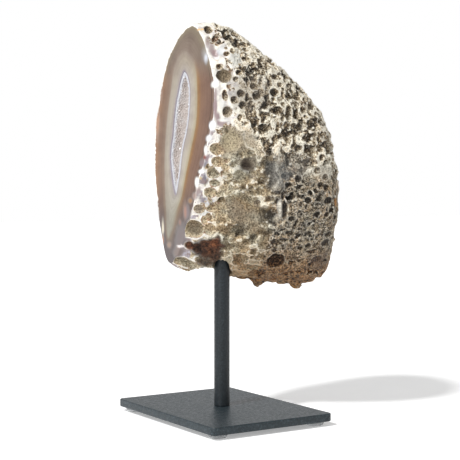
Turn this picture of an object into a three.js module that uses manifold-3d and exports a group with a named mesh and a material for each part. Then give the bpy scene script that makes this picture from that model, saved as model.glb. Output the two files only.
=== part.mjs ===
// An agate nodule on a stand. One side of the nodule is sawn flat and polished, and shows a long
// hollow lined with quartz crystals. The rest is its natural skin, full of round pits. A steel rod
// in a drilled hole carries it above a flat plate on four small dome feet.
// Millimetres, +Z up, the polished face towards -Y, the rod's axis at x = y = 0 until the last step.

import * as THREE from "three";
import { mergeVertices } from "three/addons/utils/BufferGeometryUtils.js";
import Module from "manifold-3d";

const wasm = await Module();
wasm.setup();

// Stand
const PLATE = { width: 95, depth: 70, thickness: 4, cornerRadius: 2.5, edgeBevel: 0.5 };
const FOOT = { radius: 4.75, contactRadius: 2.6, height: 2.4, edgeHeight: 0.9, inset: 6.5 };
const ROD = { radius: 4, top: 92, clearance: 0.4 };

// Stone: its centre, the plane of the polished face, and how softly its flats run into each other
const STONE = { centre: new THREE.Vector3(0, 20, 132), faceY: -22.5, roundness: 9, fineness: 9 };

// The flats of the natural skin: azimuth and elevation in degrees, reach from the centre in mm.
// Azimuth 0 looks out along -Y and turns towards +X.
const CROWN = [[330, 80, 88], [50, 50, 88], [285, 60, 68], [195, 45, 45]];
const REAR_RIGHT_LIMB = [
  [147, 68, 70], [147, 50, 46], [147, 34, 48], [147, 18, 46.5], [147, 2, 45], [147, -14, 55],
  [147, -34, 80], [147, -60, 98],
];
const FRONT_RIGHT_FLANK = [
  [57, 22, 61], [48, -20, 41], [75, -4, 45.5], [95, 38, 63], [95, 8, 45.5], [92, -26, 49], [60, -55, 57],
];
const LEFT_FLANK = [[285, 36, 54], [285, 12, 43], [285, -12, 41.5], [285, -36, 56]];
const BACK = [[190, 5, 43], [200, -38, 88], [243, 30, 46], [243, -4, 42], [250, -45, 66]];
const UNDERSIDE = [[20, -86, 65], [120, -84, 94]];
const FLATS = [...CROWN, ...REAR_RIGHT_LIMB, ...FRONT_RIGHT_FLANK, ...LEFT_FLANK, ...BACK, ...UNDERSIDE];

// Soft swells on the flats: azimuth, elevation, height in mm, spread in degrees
const SWELLS = [[147, -62, 2.5, 13], [355, -62, 1, 12], [336, -50, 3, 9], [10, 58, 1.5, 12]];
const SKIN_LUMP_HEIGHT = 0.7;

// Large pits and scoops of the skin: azimuth, elevation, mouth radius and depth in mm
const SCOOPS = [
  [7, -41, 4.6, 2.4], [1, -48, 2, 1.5], [350, -52, 3, 2], [15, -30, 2.3, 1.5], [25, -21, 2.9, 1.8],
  [28, -9, 2.7, 1.8], [32, 6, 3.4, 2], [43, 10, 6.3, 1.8], [52, -3, 4, 4], [62, 19, 3, 2.8],
  [41, 25, 2.4, 2], [39, 39, 3.6, 3], [80, 28, 3, 3], [86, 9, 2.5, 2.5], [87, -67, 3.8, 3.5],
];
const SCOOP_MARGIN = 0.12;
const SMALL_PITS = { count: 108, minRadius: 2.5, maxRadius: 4.8, faceMargin: 5, rodMargin: 9, seed: 41 };

// Hollow in the polished face: its mouth as x and z on the face, from the top round the right side
const HOLLOW_MOUTH = [
  [0, 176], [4.5, 173], [6, 165], [7, 157], [4.5, 149], [1.5, 142], [-2, 132], [-4.5, 122], [-9.5, 114],
  [-12, 124], [-13.5, 133], [-12, 141], [-10, 150], [-7.5, 158], [-4.5, 167], [-2, 173],
];
const HOLLOW = { midX: -3, midZ: 145, lean: 0.155, halfWidth: 8.5, halfHeight: 31 };
// Rings of the hollow's wall, and of the crust from the middle of its front over its rim to its
// back: inset from the mouth, depth below the face
const HOLLOW_WALL = [[-0.4, -1], [0, 0], [1.2, 3], [3.5, 5]];
const CRUST_SHEET = [[5.2, 3.3], [2.9, 2.6], [1.3, 0.8], [0.6, 0.6], [1.6, 3], [3.9, 4.6]];
const CRYSTALS = { count: 40, minRadius: 0.8, maxRadius: 1.4, sides: 5, seed: 12 };

// Looks
const AGATE = { color: 0x9a8b7a, roughness: 0.7, metalness: 0 };
const QUARTZ = { color: 0xd9cdc8, roughness: 0.3, metalness: 0 };
const STEEL = { color: 0x2b2f31, roughness: 0.6, metalness: 0.2 };
const CLEAR_RUBBER = { color: 0xdfe3e4, roughness: 0.15, metalness: 0 };

// Directions and chance

function direction(azimuth, elevation) {
  const a = THREE.MathUtils.degToRad(azimuth);
  const e = THREE.MathUtils.degToRad(elevation);
  return new THREE.Vector3(Math.sin(a) * Math.cos(e), -Math.cos(a) * Math.cos(e), Math.sin(e));
}

function seededRandom(seed) {
  let state = seed;
  return () => {
    state = (state * 1664525 + 1013904223) % 4294967296;
    return state / 4294967296;
  };
}

// Solids from closed meshes, and back

function solidFrom(geometry) {
  const bare = geometry.clone();
  bare.deleteAttribute("normal");
  bare.deleteAttribute("uv");
  const merged = mergeVertices(bare);
  return new wasm.Manifold(new wasm.Mesh({
    numProp: 3,
    vertProperties: new Float32Array(merged.attributes.position.array),
    triVerts: new Uint32Array(merged.index.array),
  }));
}

function geometryFrom(solid) {
  const mesh = solid.getMesh();
  const geometry = new THREE.BufferGeometry();
  geometry.setAttribute("position", new THREE.BufferAttribute(new Float32Array(mesh.vertProperties), 3));
  geometry.setIndex(new THREE.BufferAttribute(new Uint32Array(mesh.triVerts), 1));
  geometry.computeVertexNormals();
  return geometry;
}

function joined(solids) {
  return solids.reduce((whole, solid) => whole.add(solid));
}

// The natural skin

function flatsReach(unit) {
  const { roundness } = STONE;
  const sum = FLATS.reduce((total, [azimuth, elevation, reach]) => {
    const share = Math.max(0, unit.dot(direction(azimuth, elevation))) / reach;
    return total + share ** roundness;
  }, 0);
  return sum ** (-1 / roundness);
}

function swell(unit) {
  return SWELLS.reduce((total, [azimuth, elevation, height, spread]) => {
    const away = THREE.MathUtils.radToDeg(unit.angleTo(direction(azimuth, elevation)));
    return total + height * Math.exp(-((away / spread) ** 2));
  }, 0);
}

function lump({ x, y, z }) {
  const acrossWave = Math.sin(11 * x + 2 * z + 1) * Math.sin(9 * y + 2);
  const upWave = Math.sin(13 * z + 5 * x) * Math.cos(8 * y - 3 * z);
  return SKIN_LUMP_HEIGHT * (acrossWave + upWave);
}

function skinPoint(unit) {
  const reach = flatsReach(unit) + swell(unit) + lump(unit);
  return unit.clone().multiplyScalar(reach).add(STONE.centre);
}

function wholeNodule() {
  const geometry = new THREE.IcosahedronGeometry(1, STONE.fineness);
  const position = geometry.attributes.position;
  for (let i = 0; i < position.count; i += 1) {
    const point = skinPoint(new THREE.Vector3().fromBufferAttribute(position, i).normalize());
    position.setXYZ(i, point.x, point.y, point.z);
  }
  return solidFrom(geometry);
}

function pit(unit, radius, depth, detail) {
  const geometry = new THREE.IcosahedronGeometry(1, detail);
  geometry.scale(radius, radius, depth);
  const turn = new THREE.Quaternion().setFromUnitVectors(new THREE.Vector3(0, 0, 1), unit);
  geometry.applyQuaternion(turn);
  const mouth = skinPoint(unit);
  geometry.translate(mouth.x, mouth.y, mouth.z);
  return solidFrom(geometry);
}

function scoops() {
  return SCOOPS.map(([azimuth, elevation, radius, depth]) => (
    pit(direction(azimuth, elevation), radius, depth, 1)
  ));
}

function nearScoop(unit) {
  return SCOOPS.some(([azimuth, elevation]) => unit.angleTo(direction(azimuth, elevation)) < SCOOP_MARGIN);
}

// Small pits on a spiral round the whole stone, each moved a little by chance
function smallPits() {
  const random = seededRandom(SMALL_PITS.seed);
  const goldenTurn = Math.PI * (3 - Math.sqrt(5));
  const pits = [];
  for (let i = 0; i < SMALL_PITS.count; i += 1) {
    const height = 1 - (2 * (i + 0.5)) / SMALL_PITS.count + 0.06 * (random() - 0.5);
    const around = i * goldenTurn + 0.25 * (random() - 0.5);
    const size = random();
    const ring = Math.sqrt(Math.max(0, 1 - height * height));
    const unit = new THREE.Vector3(ring * Math.cos(around), ring * Math.sin(around), height).normalize();
    const mouth = skinPoint(unit);
    const radius = THREE.MathUtils.lerp(SMALL_PITS.minRadius, SMALL_PITS.maxRadius, size * size);
    const onSkin = mouth.y > STONE.faceY + SMALL_PITS.faceMargin;
    const byRod = height < 0 && Math.hypot(mouth.x, mouth.y) < SMALL_PITS.rodMargin;
    if (onSkin && !byRod && !nearScoop(unit)) {
      pits.push(pit(unit, radius, 0.9 * radius, 0));
    }
  }
  return pits;
}

// The polished face and its hollow

function sawnAway() {
  const size = 300;
  const box = new THREE.BoxGeometry(size, size, size);
  box.translate(0, STONE.faceY - size / 2, STONE.centre.z);
  return solidFrom(box);
}

// A point of the mouth's outline moved in by a distance, along and across the leaning hollow
function insetPoint([x, z], inset, depth) {
  const tall = z - HOLLOW.midZ;
  const across = x - HOLLOW.midX - HOLLOW.lean * tall;
  const newTall = tall * (1 - (1.6 * inset) / HOLLOW.halfHeight);
  const newAcross = across * (1 - inset / HOLLOW.halfWidth);
  const newX = HOLLOW.midX + HOLLOW.lean * newTall + newAcross;
  return new THREE.Vector3(newX, STONE.faceY + depth, HOLLOW.midZ + newTall);
}

// A closed body through rings of the mouth's outline, ended by a fan at the first and last ring
function ringBody(rings) {
  const middle = [HOLLOW.midX, HOLLOW.midZ];
  const sides = HOLLOW_MOUTH.length;
  const points = rings.flatMap(([inset, depth]) => (
    HOLLOW_MOUTH.map((corner) => insetPoint(corner, inset, depth))
  ));
  const first = points.push(insetPoint(middle, 0, rings[0][1])) - 1;
  const last = points.push(insetPoint(middle, 0, rings[rings.length - 1][1])) - 1;
  const faces = [];
  for (let i = 0; i < sides; i += 1) {
    const next = (i + 1) % sides;
    faces.push(first, next, i);
    for (let ring = 0; ring < rings.length - 1; ring += 1) {
      const a = ring * sides;
      const b = a + sides;
      faces.push(a + i, b + next, b + i, a + i, a + next, b + next);
    }
    const end = (rings.length - 1) * sides;
    faces.push(last, end + i, end + next);
  }
  const geometry = new THREE.BufferGeometry().setFromPoints(points);
  geometry.setIndex(faces);
  return solidFrom(geometry);
}

function rodHole() {
  const length = ROD.top;
  const hole = new THREE.CylinderGeometry(ROD.radius + ROD.clearance, ROD.radius + ROD.clearance, length, 24);
  hole.rotateX(Math.PI / 2);
  hole.translate(0, 0, ROD.top - length / 2);
  return solidFrom(hole);
}

function agateNodule() {
  const cut = joined([...scoops(), ...smallPits(), sawnAway(), ringBody(HOLLOW_WALL), rodHole()]);
  return geometryFrom(wholeNodule().subtract(cut));
}

// Quartz crust: a dished sheet that follows the hollow's wall, with short pointed crystals on it

function crystal(random) {
  const { minRadius, maxRadius, sides } = CRYSTALS;
  const corner = HOLLOW_MOUTH[Math.floor(random() * HOLLOW_MOUTH.length)];
  const next = HOLLOW_MOUTH[(HOLLOW_MOUTH.indexOf(corner) + 1) % HOLLOW_MOUTH.length];
  const along = random();
  const outline = [0, 1].map((k) => THREE.MathUtils.lerp(corner[k], next[k], along));
  const inset = THREE.MathUtils.lerp(3.7, 7.8, random());
  const foot = insetPoint(outline, inset, 2.9);
  const radius = THREE.MathUtils.lerp(minRadius, maxRadius, random());
  const point = new THREE.ConeGeometry(radius, 1.5 * radius, sides);
  point.rotateY(random() * Math.PI);
  point.rotateX(-Math.PI + 0.7 * (random() - 0.5));
  point.rotateZ(0.7 * (random() - 0.5));
  point.translate(foot.x, foot.y - 0.3 * radius, foot.z);
  return solidFrom(point);
}

function quartzCrust() {
  const random = seededRandom(CRYSTALS.seed);
  const crystals = Array.from({ length: CRYSTALS.count }, () => crystal(random));
  return geometryFrom(joined([ringBody(CRUST_SHEET), ...crystals]));
}

// Stand

function supportRod() {
  const bottom = FOOT.height + PLATE.thickness;
  const rod = new THREE.CylinderGeometry(ROD.radius, ROD.radius, ROD.top - bottom, 40);
  rod.rotateX(Math.PI / 2);
  rod.translate(0, 0, (ROD.top + bottom) / 2);
  return rod;
}

function basePlate() {
  const { width, depth, thickness, cornerRadius, edgeBevel } = PLATE;
  const x = width / 2 - edgeBevel;
  const y = depth / 2 - edgeBevel;
  const r = cornerRadius;
  const outline = new THREE.Shape();
  outline.moveTo(-x + r, -y);
  outline.lineTo(x - r, -y);
  outline.absarc(x - r, -y + r, r, -Math.PI / 2, 0, false);
  outline.absarc(x - r, y - r, r, 0, Math.PI / 2, false);
  outline.absarc(-x + r, y - r, r, Math.PI / 2, Math.PI, false);
  outline.absarc(-x + r, -y + r, r, Math.PI, 1.5 * Math.PI, false);
  const plate = new THREE.ExtrudeGeometry(outline, {
    depth: thickness - 2 * edgeBevel,
    bevelThickness: edgeBevel,
    bevelSize: edgeBevel,
    bevelSegments: 1,
    curveSegments: 4,
  });
  plate.translate(0, 0, FOOT.height + edgeBevel);
  return plate;
}

// A dome foot, flat where it rests and flat where it sticks to the plate
function domeFoot() {
  const { radius, contactRadius, height, edgeHeight } = FOOT;
  const dome = height - edgeHeight;
  const profile = [new THREE.Vector2(0, 0), new THREE.Vector2(contactRadius, 0)];
  const steps = 3;
  for (let i = 1; i <= steps; i += 1) {
    const angle = ((i / steps) * Math.PI) / 2;
    const reach = contactRadius + (radius - contactRadius) * Math.sin(angle);
    profile.push(new THREE.Vector2(reach, dome * (1 - Math.cos(angle))));
  }
  profile.push(new THREE.Vector2(radius, height), new THREE.Vector2(0, height));
  const foot = new THREE.LatheGeometry(profile, 18);
  foot.rotateX(Math.PI / 2);
  return foot;
}

// The object

function piece(name, geometry, look) {
  const mesh = new THREE.Mesh(geometry, new THREE.MeshStandardMaterial(look));
  mesh.name = name;
  return mesh;
}

function dressedStand() {
  const stand = new THREE.Group();
  const x = PLATE.width / 2 - FOOT.inset;
  const y = PLATE.depth / 2 - FOOT.inset;
  const places = { front_left: [-x, -y], front_right: [x, -y], rear_left: [-x, y], rear_right: [x, y] };
  stand.add(piece("base_plate", basePlate(), STEEL));
  stand.add(piece("support_rod", supportRod(), STEEL));
  Object.entries(places).forEach(([place, [footX, footY]]) => {
    const foot = piece(`bumper_foot_${place}`, domeFoot(), CLEAR_RUBBER);
    foot.position.set(footX, footY, 0);
    stand.add(foot);
  });
  return stand;
}

const agateOnStand = new THREE.Group();
agateOnStand.add(piece("agate_nodule", agateNodule(), AGATE));
agateOnStand.add(piece("quartz_crust", quartzCrust(), QUARTZ));
agateOnStand.add(dressedStand());

// The origin goes to the middle of the bounding box's bottom
const middle = new THREE.Box3().setFromObject(agateOnStand).getCenter(new THREE.Vector3());
agateOnStand.position.set(-middle.x, -middle.y, 0);

export default agateOnStand;
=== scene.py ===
"""An agate nodule on a display stand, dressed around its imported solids. Metres, +Z up.

The stone is worked out in millimetres from the rod's axis, with z from the floor, and put in its
place in the row frame at the end.
"""

import itertools
import math

import bmesh
import bpy
import numpy as np
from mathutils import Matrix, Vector
from mathutils.geometry import delaunay_2d_cdt
from mathutils.kdtree import KDTree


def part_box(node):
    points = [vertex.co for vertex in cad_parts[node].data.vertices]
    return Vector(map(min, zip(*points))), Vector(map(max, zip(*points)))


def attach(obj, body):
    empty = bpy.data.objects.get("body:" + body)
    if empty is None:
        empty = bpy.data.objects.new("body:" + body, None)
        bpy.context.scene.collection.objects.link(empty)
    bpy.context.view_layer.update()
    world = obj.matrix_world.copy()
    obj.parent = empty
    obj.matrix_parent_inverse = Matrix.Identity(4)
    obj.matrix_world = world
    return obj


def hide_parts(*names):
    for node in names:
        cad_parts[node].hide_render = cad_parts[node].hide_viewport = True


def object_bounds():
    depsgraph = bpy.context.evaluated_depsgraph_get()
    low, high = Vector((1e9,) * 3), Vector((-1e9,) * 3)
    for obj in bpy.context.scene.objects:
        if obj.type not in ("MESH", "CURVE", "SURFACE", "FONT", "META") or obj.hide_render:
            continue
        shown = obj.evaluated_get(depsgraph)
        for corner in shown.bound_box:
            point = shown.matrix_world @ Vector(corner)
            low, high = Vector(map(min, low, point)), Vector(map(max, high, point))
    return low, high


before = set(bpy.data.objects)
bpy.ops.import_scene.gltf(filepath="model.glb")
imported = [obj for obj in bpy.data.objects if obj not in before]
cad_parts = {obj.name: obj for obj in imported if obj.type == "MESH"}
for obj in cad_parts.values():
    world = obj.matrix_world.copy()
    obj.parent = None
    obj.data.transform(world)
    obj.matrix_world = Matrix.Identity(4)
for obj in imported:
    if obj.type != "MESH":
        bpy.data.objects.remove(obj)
CAD_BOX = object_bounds()

MM = 0.001

# The rod's axis on the floor, from the frame
ROD_LOW, ROD_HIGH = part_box("support_rod")
AXIS = np.array([(ROD_LOW.x + ROD_HIGH.x) / 2, (ROD_LOW.y + ROD_HIGH.y) / 2, 0.0])

# Camera, from the lines of the stand in the photograph
PHOTO_WIDTH = 460
FOCAL_PX = 1170.5
AXIS_PX = 221.9
MIDDLE_PX = 230.0
VIEW_AZIMUTH = math.radians(57.5)
VIEW_PITCH = math.radians(1.72)
VIEW_DISTANCE = 598.7
VIEW_HEIGHT = 114.6
SENSOR_MM = 36.0

TO_CAMERA = np.array([math.sin(VIEW_AZIMUTH), -math.cos(VIEW_AZIMUTH), 0.0])
EYE = VIEW_DISTANCE * TO_CAMERA + np.array([0.0, 0.0, VIEW_HEIGHT])
FORWARD = -math.cos(VIEW_PITCH) * TO_CAMERA - np.array([0.0, 0.0, math.sin(VIEW_PITCH)])
RIGHT = np.array([math.cos(VIEW_AZIMUTH), math.sin(VIEW_AZIMUTH), 0.0])
UPWARD = np.cross(RIGHT, FORWARD)

# Stone
CENTRE = np.array([0.0, 20.0, 132.0])
FACE_Y = -22.5
ROUNDNESS = 9
SKIN_INSET = 0.25
GRID_STEP = 0.6
CRUST_TRIANGLES = 188000
FACE_SPACING = 0.75
GRID_LOW = np.array([-43.5, FACE_Y - 2.2, 64.5])
GRID_HIGH = np.array([46.0, 68.0, 203.5])
# The back of the solids' box, less a little, behind which the stone doesn't reach
BACK_LIMIT = (CAD_BOX[1].y - AXIS[1]) / MM - 0.1

# The flats of the natural skin: azimuth and elevation in degrees, reach from the centre
CROWN = [(330, 80, 88), (50, 50, 88), (285, 60, 68), (195, 45, 45)]
REAR_RIGHT_LIMB = [
    (147, 68, 70), (147, 50, 46), (147, 34, 48), (147, 18, 46.5), (147, 2, 45), (147, -14, 55),
    (147, -34, 80), (147, -60, 98),
]
FRONT_RIGHT_FLANK = [
    (57, 22, 61), (48, -20, 41), (75, -4, 45.5), (95, 38, 63), (95, 8, 45.5), (92, -26, 49), (60, -55, 57),
]
LEFT_FLANK = [(285, 36, 54), (285, 12, 43), (285, -12, 41.5), (285, -36, 56)]
BACK = [(190, 5, 43), (200, -38, 88), (243, 30, 46), (243, -4, 42), (250, -45, 66)]
UNDERSIDE = [(20, -86, 65), (120, -84, 94)]
FLATS = CROWN + REAR_RIGHT_LIMB + FRONT_RIGHT_FLANK + LEFT_FLANK + BACK + UNDERSIDE
SWELLS = [(147, -62, 2.5, 13), (355, -62, 1, 12), (336, -50, 3, 9), (10, 58, 1.5, 12), (337, 45, 1.6, 14)]
SKIN_LUMP_HEIGHT = 0.7

# Rod hole
HOLE_RADIUS = 4.8
HOLE_CENTRE = (0.25, 0.3)
HOLE_TOP = 92.3

# Hollow: the quartz layer's outline on the face as x and z, from the top round the right side
HOLLOW_OUTLINE = [
    (0.3, 176.4), (3.5, 173.4), (5.6, 168), (5.8, 162), (5.0, 154.5), (4.2, 151), (2.5, 145.4), (-0.5, 139.1),
    (-2.3, 133.1), (-3.6, 127.1), (-5.5, 121.1), (-8.2, 114.7), (-11.0, 120.1), (-12.6, 126.2),
    (-13.8, 133.4), (-13.0, 139), (-11.3, 144.5), (-9.9, 153), (-7.9, 161.5), (-6.1, 165.8), (-3.8, 171.3),
    (-1.6, 174.8),
]
# Outer edge of the cream band round it
CREAM_OUTLINE = [
    (2.1, 186.1), (6.4, 183.2), (10.1, 179.9), (12.5, 175), (13.3, 168), (13.7, 161.2), (13.1, 154.7),
    (11.9, 148.7), (10.1, 143.1), (8.2, 138.7), (5.9, 132.9), (3.2, 127), (0.6, 120), (-1.8, 114), (-6, 108),
    (-9.5, 101.8), (-13.1, 95.6), (-16.2, 92.5), (-17.7, 97.6), (-18.2, 105.8), (-19.3, 114), (-20, 122.2),
    (-20, 130.5), (-19.5, 138.7), (-18.6, 146.9), (-17, 155.5), (-15.2, 163.2),
    (-12.9, 171), (-10, 179), (-5.8, 183.5), (-1.8, 185.8),
]
HOLLOW_WALL = [(0.9, 2.4), (2.6, 4.2)]

# The elevation below which the coarse pits give way to finer ones, by azimuth
COARSE_EDGE = [
    (-180, -12), (-120, -6), (-60, 8), (0, 20), (47, 18), (56, 15), (63, 6), (70, -2), (88, -8), (117, -18),
    (150, -16), (180, -12),
]
SMOOTH_AZIMUTHS = (-70, 66)


# Numbers

def smoothstep(low, high, x):
    t = np.clip((x - low) / (high - low), 0, 1)
    return t * t * (3 - 2 * t)


def unit(azimuth, elevation):
    a, e = math.radians(azimuth), math.radians(elevation)
    return np.array([math.sin(a) * math.cos(e), -math.cos(a) * math.cos(e), math.sin(e)])


def length(v):
    return np.sqrt((v * v).sum(-1))


LATTICE_PRIMES = (73856093, 19349663, 83492791)
NOISE_VALUES = 4096
# Keeps the lattice's own origin away from the stone
NOISE_SHIFT = 137.31


def value_noise(points, size, seed):
    """Smooth random values from 0 to 1 at points, on a lattice of the given size."""
    table = np.random.default_rng(seed).random(NOISE_VALUES)
    q = points / size + NOISE_SHIFT
    cell = np.floor(q).astype(np.int64)
    f = q - cell
    f = f * f * (3 - 2 * f)
    near, far = cell * LATTICE_PRIMES, (cell + 1) * LATTICE_PRIMES
    total = np.zeros(len(points))
    for corner in range(8):
        pick = [(corner >> axis) & 1 for axis in range(3)]
        key = np.zeros(len(points), np.int64)
        weight = np.ones(len(points))
        for axis in range(3):
            key ^= far[:, axis] if pick[axis] else near[:, axis]
            weight *= f[:, axis] if pick[axis] else 1 - f[:, axis]
        total += weight * table[key % NOISE_VALUES]
    return total


def layered_noise(points, size, seed):
    """The noise with a finer and weaker one on it."""
    return (value_noise(points, size, seed) + value_noise(points, size / 2, seed + 1) / 2) / 1.5


# The natural skin

FLAT_NORMALS = np.array([unit(a, e) / reach for a, e, reach in FLATS])


def lump(d):
    across = np.sin(11 * d[:, 0] + 2 * d[:, 2] + 1) * np.sin(9 * d[:, 1] + 2)
    up = np.sin(13 * d[:, 2] + 5 * d[:, 0]) * np.cos(8 * d[:, 1] - 3 * d[:, 2])
    return SKIN_LUMP_HEIGHT * (across + up)


def skin_reach(d):
    share = np.maximum(0, d @ FLAT_NORMALS.T)
    cube = share * share * share
    reach = (cube * cube * cube).sum(1) ** (-1 / ROUNDNESS)
    for azimuth, elevation, height, spread in SWELLS:
        away = np.degrees(np.arccos(np.clip(d @ unit(azimuth, elevation), -1, 1)))
        reach = reach + height * np.exp(-(away / spread) ** 2)
    return reach + lump(d) - SKIN_INSET


def above_skin(points):
    """Height of points above the smooth skin, along the line from the centre."""
    rel = points - CENTRE
    distance = np.maximum(length(rel), 1e-6)
    return distance - skin_reach(rel / distance[:, None])


def skin_normals(points, reach=0.8):
    slopes = [above_skin(points + reach * axis) - above_skin(points - reach * axis) for axis in np.eye(3)]
    slope = np.stack(slopes, -1)
    return slope / length(slope)[:, None]


# How far in front of the eye the stone lies
RAY_REACH = (500, 680)


def pixel_ray(px, py, count):
    """Points along a pixel's ray, through the whole stone."""
    ray = FORWARD + RIGHT * (px - AXIS_PX) / FOCAL_PX + UPWARD * (MIDDLE_PX - py) / FOCAL_PX
    return EYE + np.linspace(*RAY_REACH, count)[:, None] * ray


def pixel_size(point):
    """Millimetres in a pixel at a point."""
    return (point - EYE) @ FORWARD / FOCAL_PX


def under_pixel(px, py):
    """The point of the smooth skin or the face under a pixel."""
    points = pixel_ray(px, py, 1400)
    return points[np.argmax((above_skin(points) < 0) & (points[:, 1] > FACE_Y))]


def limb_at(px, py):
    """The point of a pixel's ray that comes nearest to the stone, or goes deepest into it."""
    points = pixel_ray(px, py, 400)
    return points[np.argmin(above_skin(points))]


def regions(points):
    """How much of the coarse, the smooth and the fine pitted skin there is at each point."""
    rel = points - CENTRE
    wobble = 14 * (value_noise(points, 14, 5) - 0.5)
    azimuth = np.degrees(np.arctan2(rel[:, 0], -rel[:, 1]))
    elevation = np.degrees(np.arcsin(rel[:, 2] / length(rel)))
    edge = np.interp(azimuth, *np.array(COARSE_EDGE).T)
    coarse = smoothstep(-5, 5, elevation - edge + wobble)
    low, high = SMOOTH_AZIMUTHS
    turn = azimuth + 1.3 * wobble
    smooth = smoothstep(low - 6, low + 6, turn) * (1 - smoothstep(high - 5, high + 5, turn)) * (1 - coarse)
    return coarse, smooth, 1 - coarse - smooth


# Pits read from the photograph, by their depth against their width: pixel, half width in pixels, and
# half height where it isn't the same
LISTED_PITS = {
    1.2: [
        (208.4, 28.7, 2.9, 6), (225.9, 47.5, 1.6), (226.5, 53.3, 2.7), (245, 69.2, 3), (262.2, 59.1, 3),
        (276.9, 76.4, 3), (275, 92.3, 4), (266.4, 105, 4.5), (278.2, 110.8, 4.5), (289.6, 114, 3, 9),
        (299.2, 149, 3.5), (284.2, 157.6, 3.2, 1.6), (283.9, 240.3, 4, 1.7),
    ],
    1.1: [
        (239.3, 72.4, 3), (241.2, 93.4, 4), (243, 105.5, 4), (270.2, 82.1, 2.5, 5), (254.6, 85.9, 4),
        (256.8, 95.5, 4), (272.4, 110.8, 3), (294.7, 125.5, 3), (304, 109.5, 3.5), (310.7, 122.9, 3.5),
        (294.7, 146.5, 3), (322.8, 157.3, 3), (275.6, 261.3, 6.4, 10.5),
    ],
    1: [
        (217, 43.7, 2), (222, 36.7, 1.5), (232.3, 50.7, 2, 3.6), (225, 95.4, 2.5, 5), (248.8, 43.8, 2),
        (251.4, 51.5, 2), (254.6, 56.6, 2), (255.5, 63.6, 2), (263.8, 72.5, 2, 4), (260.3, 83.4, 2.5),
        (273.7, 99.3, 2.5), (283.3, 94.8, 1.5, 4), (290.3, 84.6, 2), (283.3, 103.8, 2.5),
        (299.2, 92.9, 2, 4), (305, 99.3, 2), (308, 96.8, 1.5), (263.5, 129.3, 6), (277.8, 127.4, 2, 5),
        (282, 125.5, 1.5, 3), (272.4, 116.5, 1.5, 3), (306.2, 116.5, 2), (317, 113.3, 2),
        (313.9, 105.7, 1.5), (305.6, 131.8, 2.5), (314.5, 135.7, 3), (276.3, 137, 2.5), (275.6, 140, 3.5),
        (294.7, 139.5, 2, 5), (317, 152.9, 2), (324, 192, 1.5), (292.2, 240.9, 2), (225.9, 239.6, 2.5),
        (229, 212.9, 1.5),
    ],
    0.9: [
        (224, 75.6, 7.2), (234.8, 99.8, 4), (326, 177, 3), (320.9, 185.4, 3), (326.6, 187.5, 3),
        (277.5, 193, 2.5), (283.3, 195, 1.5, 4), (308, 200.7, 3.5), (284.5, 211, 3, 10),
        (290.9, 219.2, 2.5), (326, 214.7, 2.5), (308.1, 246, 2.5), (311.3, 264.5, 3), (290.9, 272.8, 2),
        (197.2, 247.9, 4.5, 5), (328.5, 234.7, 3),
    ],
    0.85: [(249, 164, 8.4, 7.2)],
    0.8: [
        (220.2, 66.7, 3.5), (230.5, 69.5, 2), (229, 86.4, 2), (227, 112, 5.2, 5.6), (236, 78.8, 3),
        (280.7, 84, 3), (264, 140, 3), (291, 175.2, 2.5), (268.6, 199.4, 3), (328.5, 200.7, 4),
        (298.6, 195.6, 2),
    ],
    0.7: [(221.7, 41.8, 2), (289, 233.3, 3), (189.5, 245.4, 4), (199.1, 260, 3.5)],
    0.6: [
        (284.5, 175.8, 4), (298, 178.4, 3.5), (317.7, 170.7, 4), (255.8, 185.4, 3), (256.5, 202.6, 3),
        (317, 260, 5), (326, 242.8, 4), (211.2, 219.2, 2.5),
    ],
    0.55: [(192.8, 229.4, 11, 10)],
    0.5: [
        (263.5, 245.4, 5), (213, 208.2, 5.5, 4.4), (205, 245, 5), (212, 252, 5), (217, 243, 4.5),
        (181, 261.5, 7, 5.5), (188, 264, 6, 5), (216.5, 149, 6.4, 5.8), (217.5, 162, 5.6, 5.2),
        (212.5, 173, 4.7, 5.8), (215, 183.5, 4.6, 3.8), (210.5, 192.5, 6.2, 5.2), (219.5, 194.5, 3.5, 3.2),
        (204.5, 220, 3, 4),
    ],
    0.45: [(199.1, 209.3, 4.5, 4.8)],
    0.3: [(225.5, 166, 4.5, 6), (210, 230, 6, 8), (222, 229, 6, 5)],
    0.22: [(220, 211, 7, 9), (236, 215, 9, 8), (242, 178, 9, 8)],
    0.2: [(228, 190, 8, 7), (240, 248, 8, 7), (250, 268, 8, 6)],
    0.18: [(236, 200, 10, 9)],
    0.17: [(231, 141, 13, 15)],
    0.16: [(245, 205, 15, 14), (252, 228, 9, 10)],
}

# How far the drift moves the walls of the listed pits, against those of the seeded ones
LISTED_DRIFT = 0.15


def pit_axes(point, normal, half_width, half_height, depth):
    """Centre of the ball that cuts a pit, axes that make it a unit ball, its radius and its reach."""
    mouth = min(half_width, half_height)
    ball = (mouth * mouth + depth * depth) / (2 * depth)
    up = np.array([0.0, 0.0, 1.0]) - normal * normal[2]
    up /= max(np.linalg.norm(up), 1e-6)
    side = np.cross(up, normal)
    stretch_side, stretch_up = half_width / mouth, half_height / mouth
    axes = np.array([side / (ball * stretch_side), up / (ball * stretch_up), normal / ball])
    return point + normal * (ball - depth), axes, ball, ball * max(half_width, half_height) / mouth


def listed_pits():
    """Place, normal, half width, half height and depth of each listed pit, in millimetres."""
    pits = []
    for depth, places in LISTED_PITS.items():
        for px, py, *half in places:
            point = under_pixel(px, py)
            normal = skin_normals(point[None])[0]
            slant = max(0.45, abs(normal @ TO_CAMERA))
            width = half[0] * pixel_size(point) / slant
            tall = half[-1] * pixel_size(point)
            pits.append((point, normal, width, tall, depth * min(width, tall)))
    return pits


# Places near the face that have no pits: pixel and radius in pixels
CLEAR_SPOTS = [
    (235, 57, 7), (228, 58, 4), (219, 100, 5), (212, 60, 5), (217, 84, 3), (212, 45, 6), (205, 30, 4),
    (233, 122, 7), (222, 121, 5), (236, 132, 8), (250, 138, 8), (244, 127, 6), (256, 150, 5),
]

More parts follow.
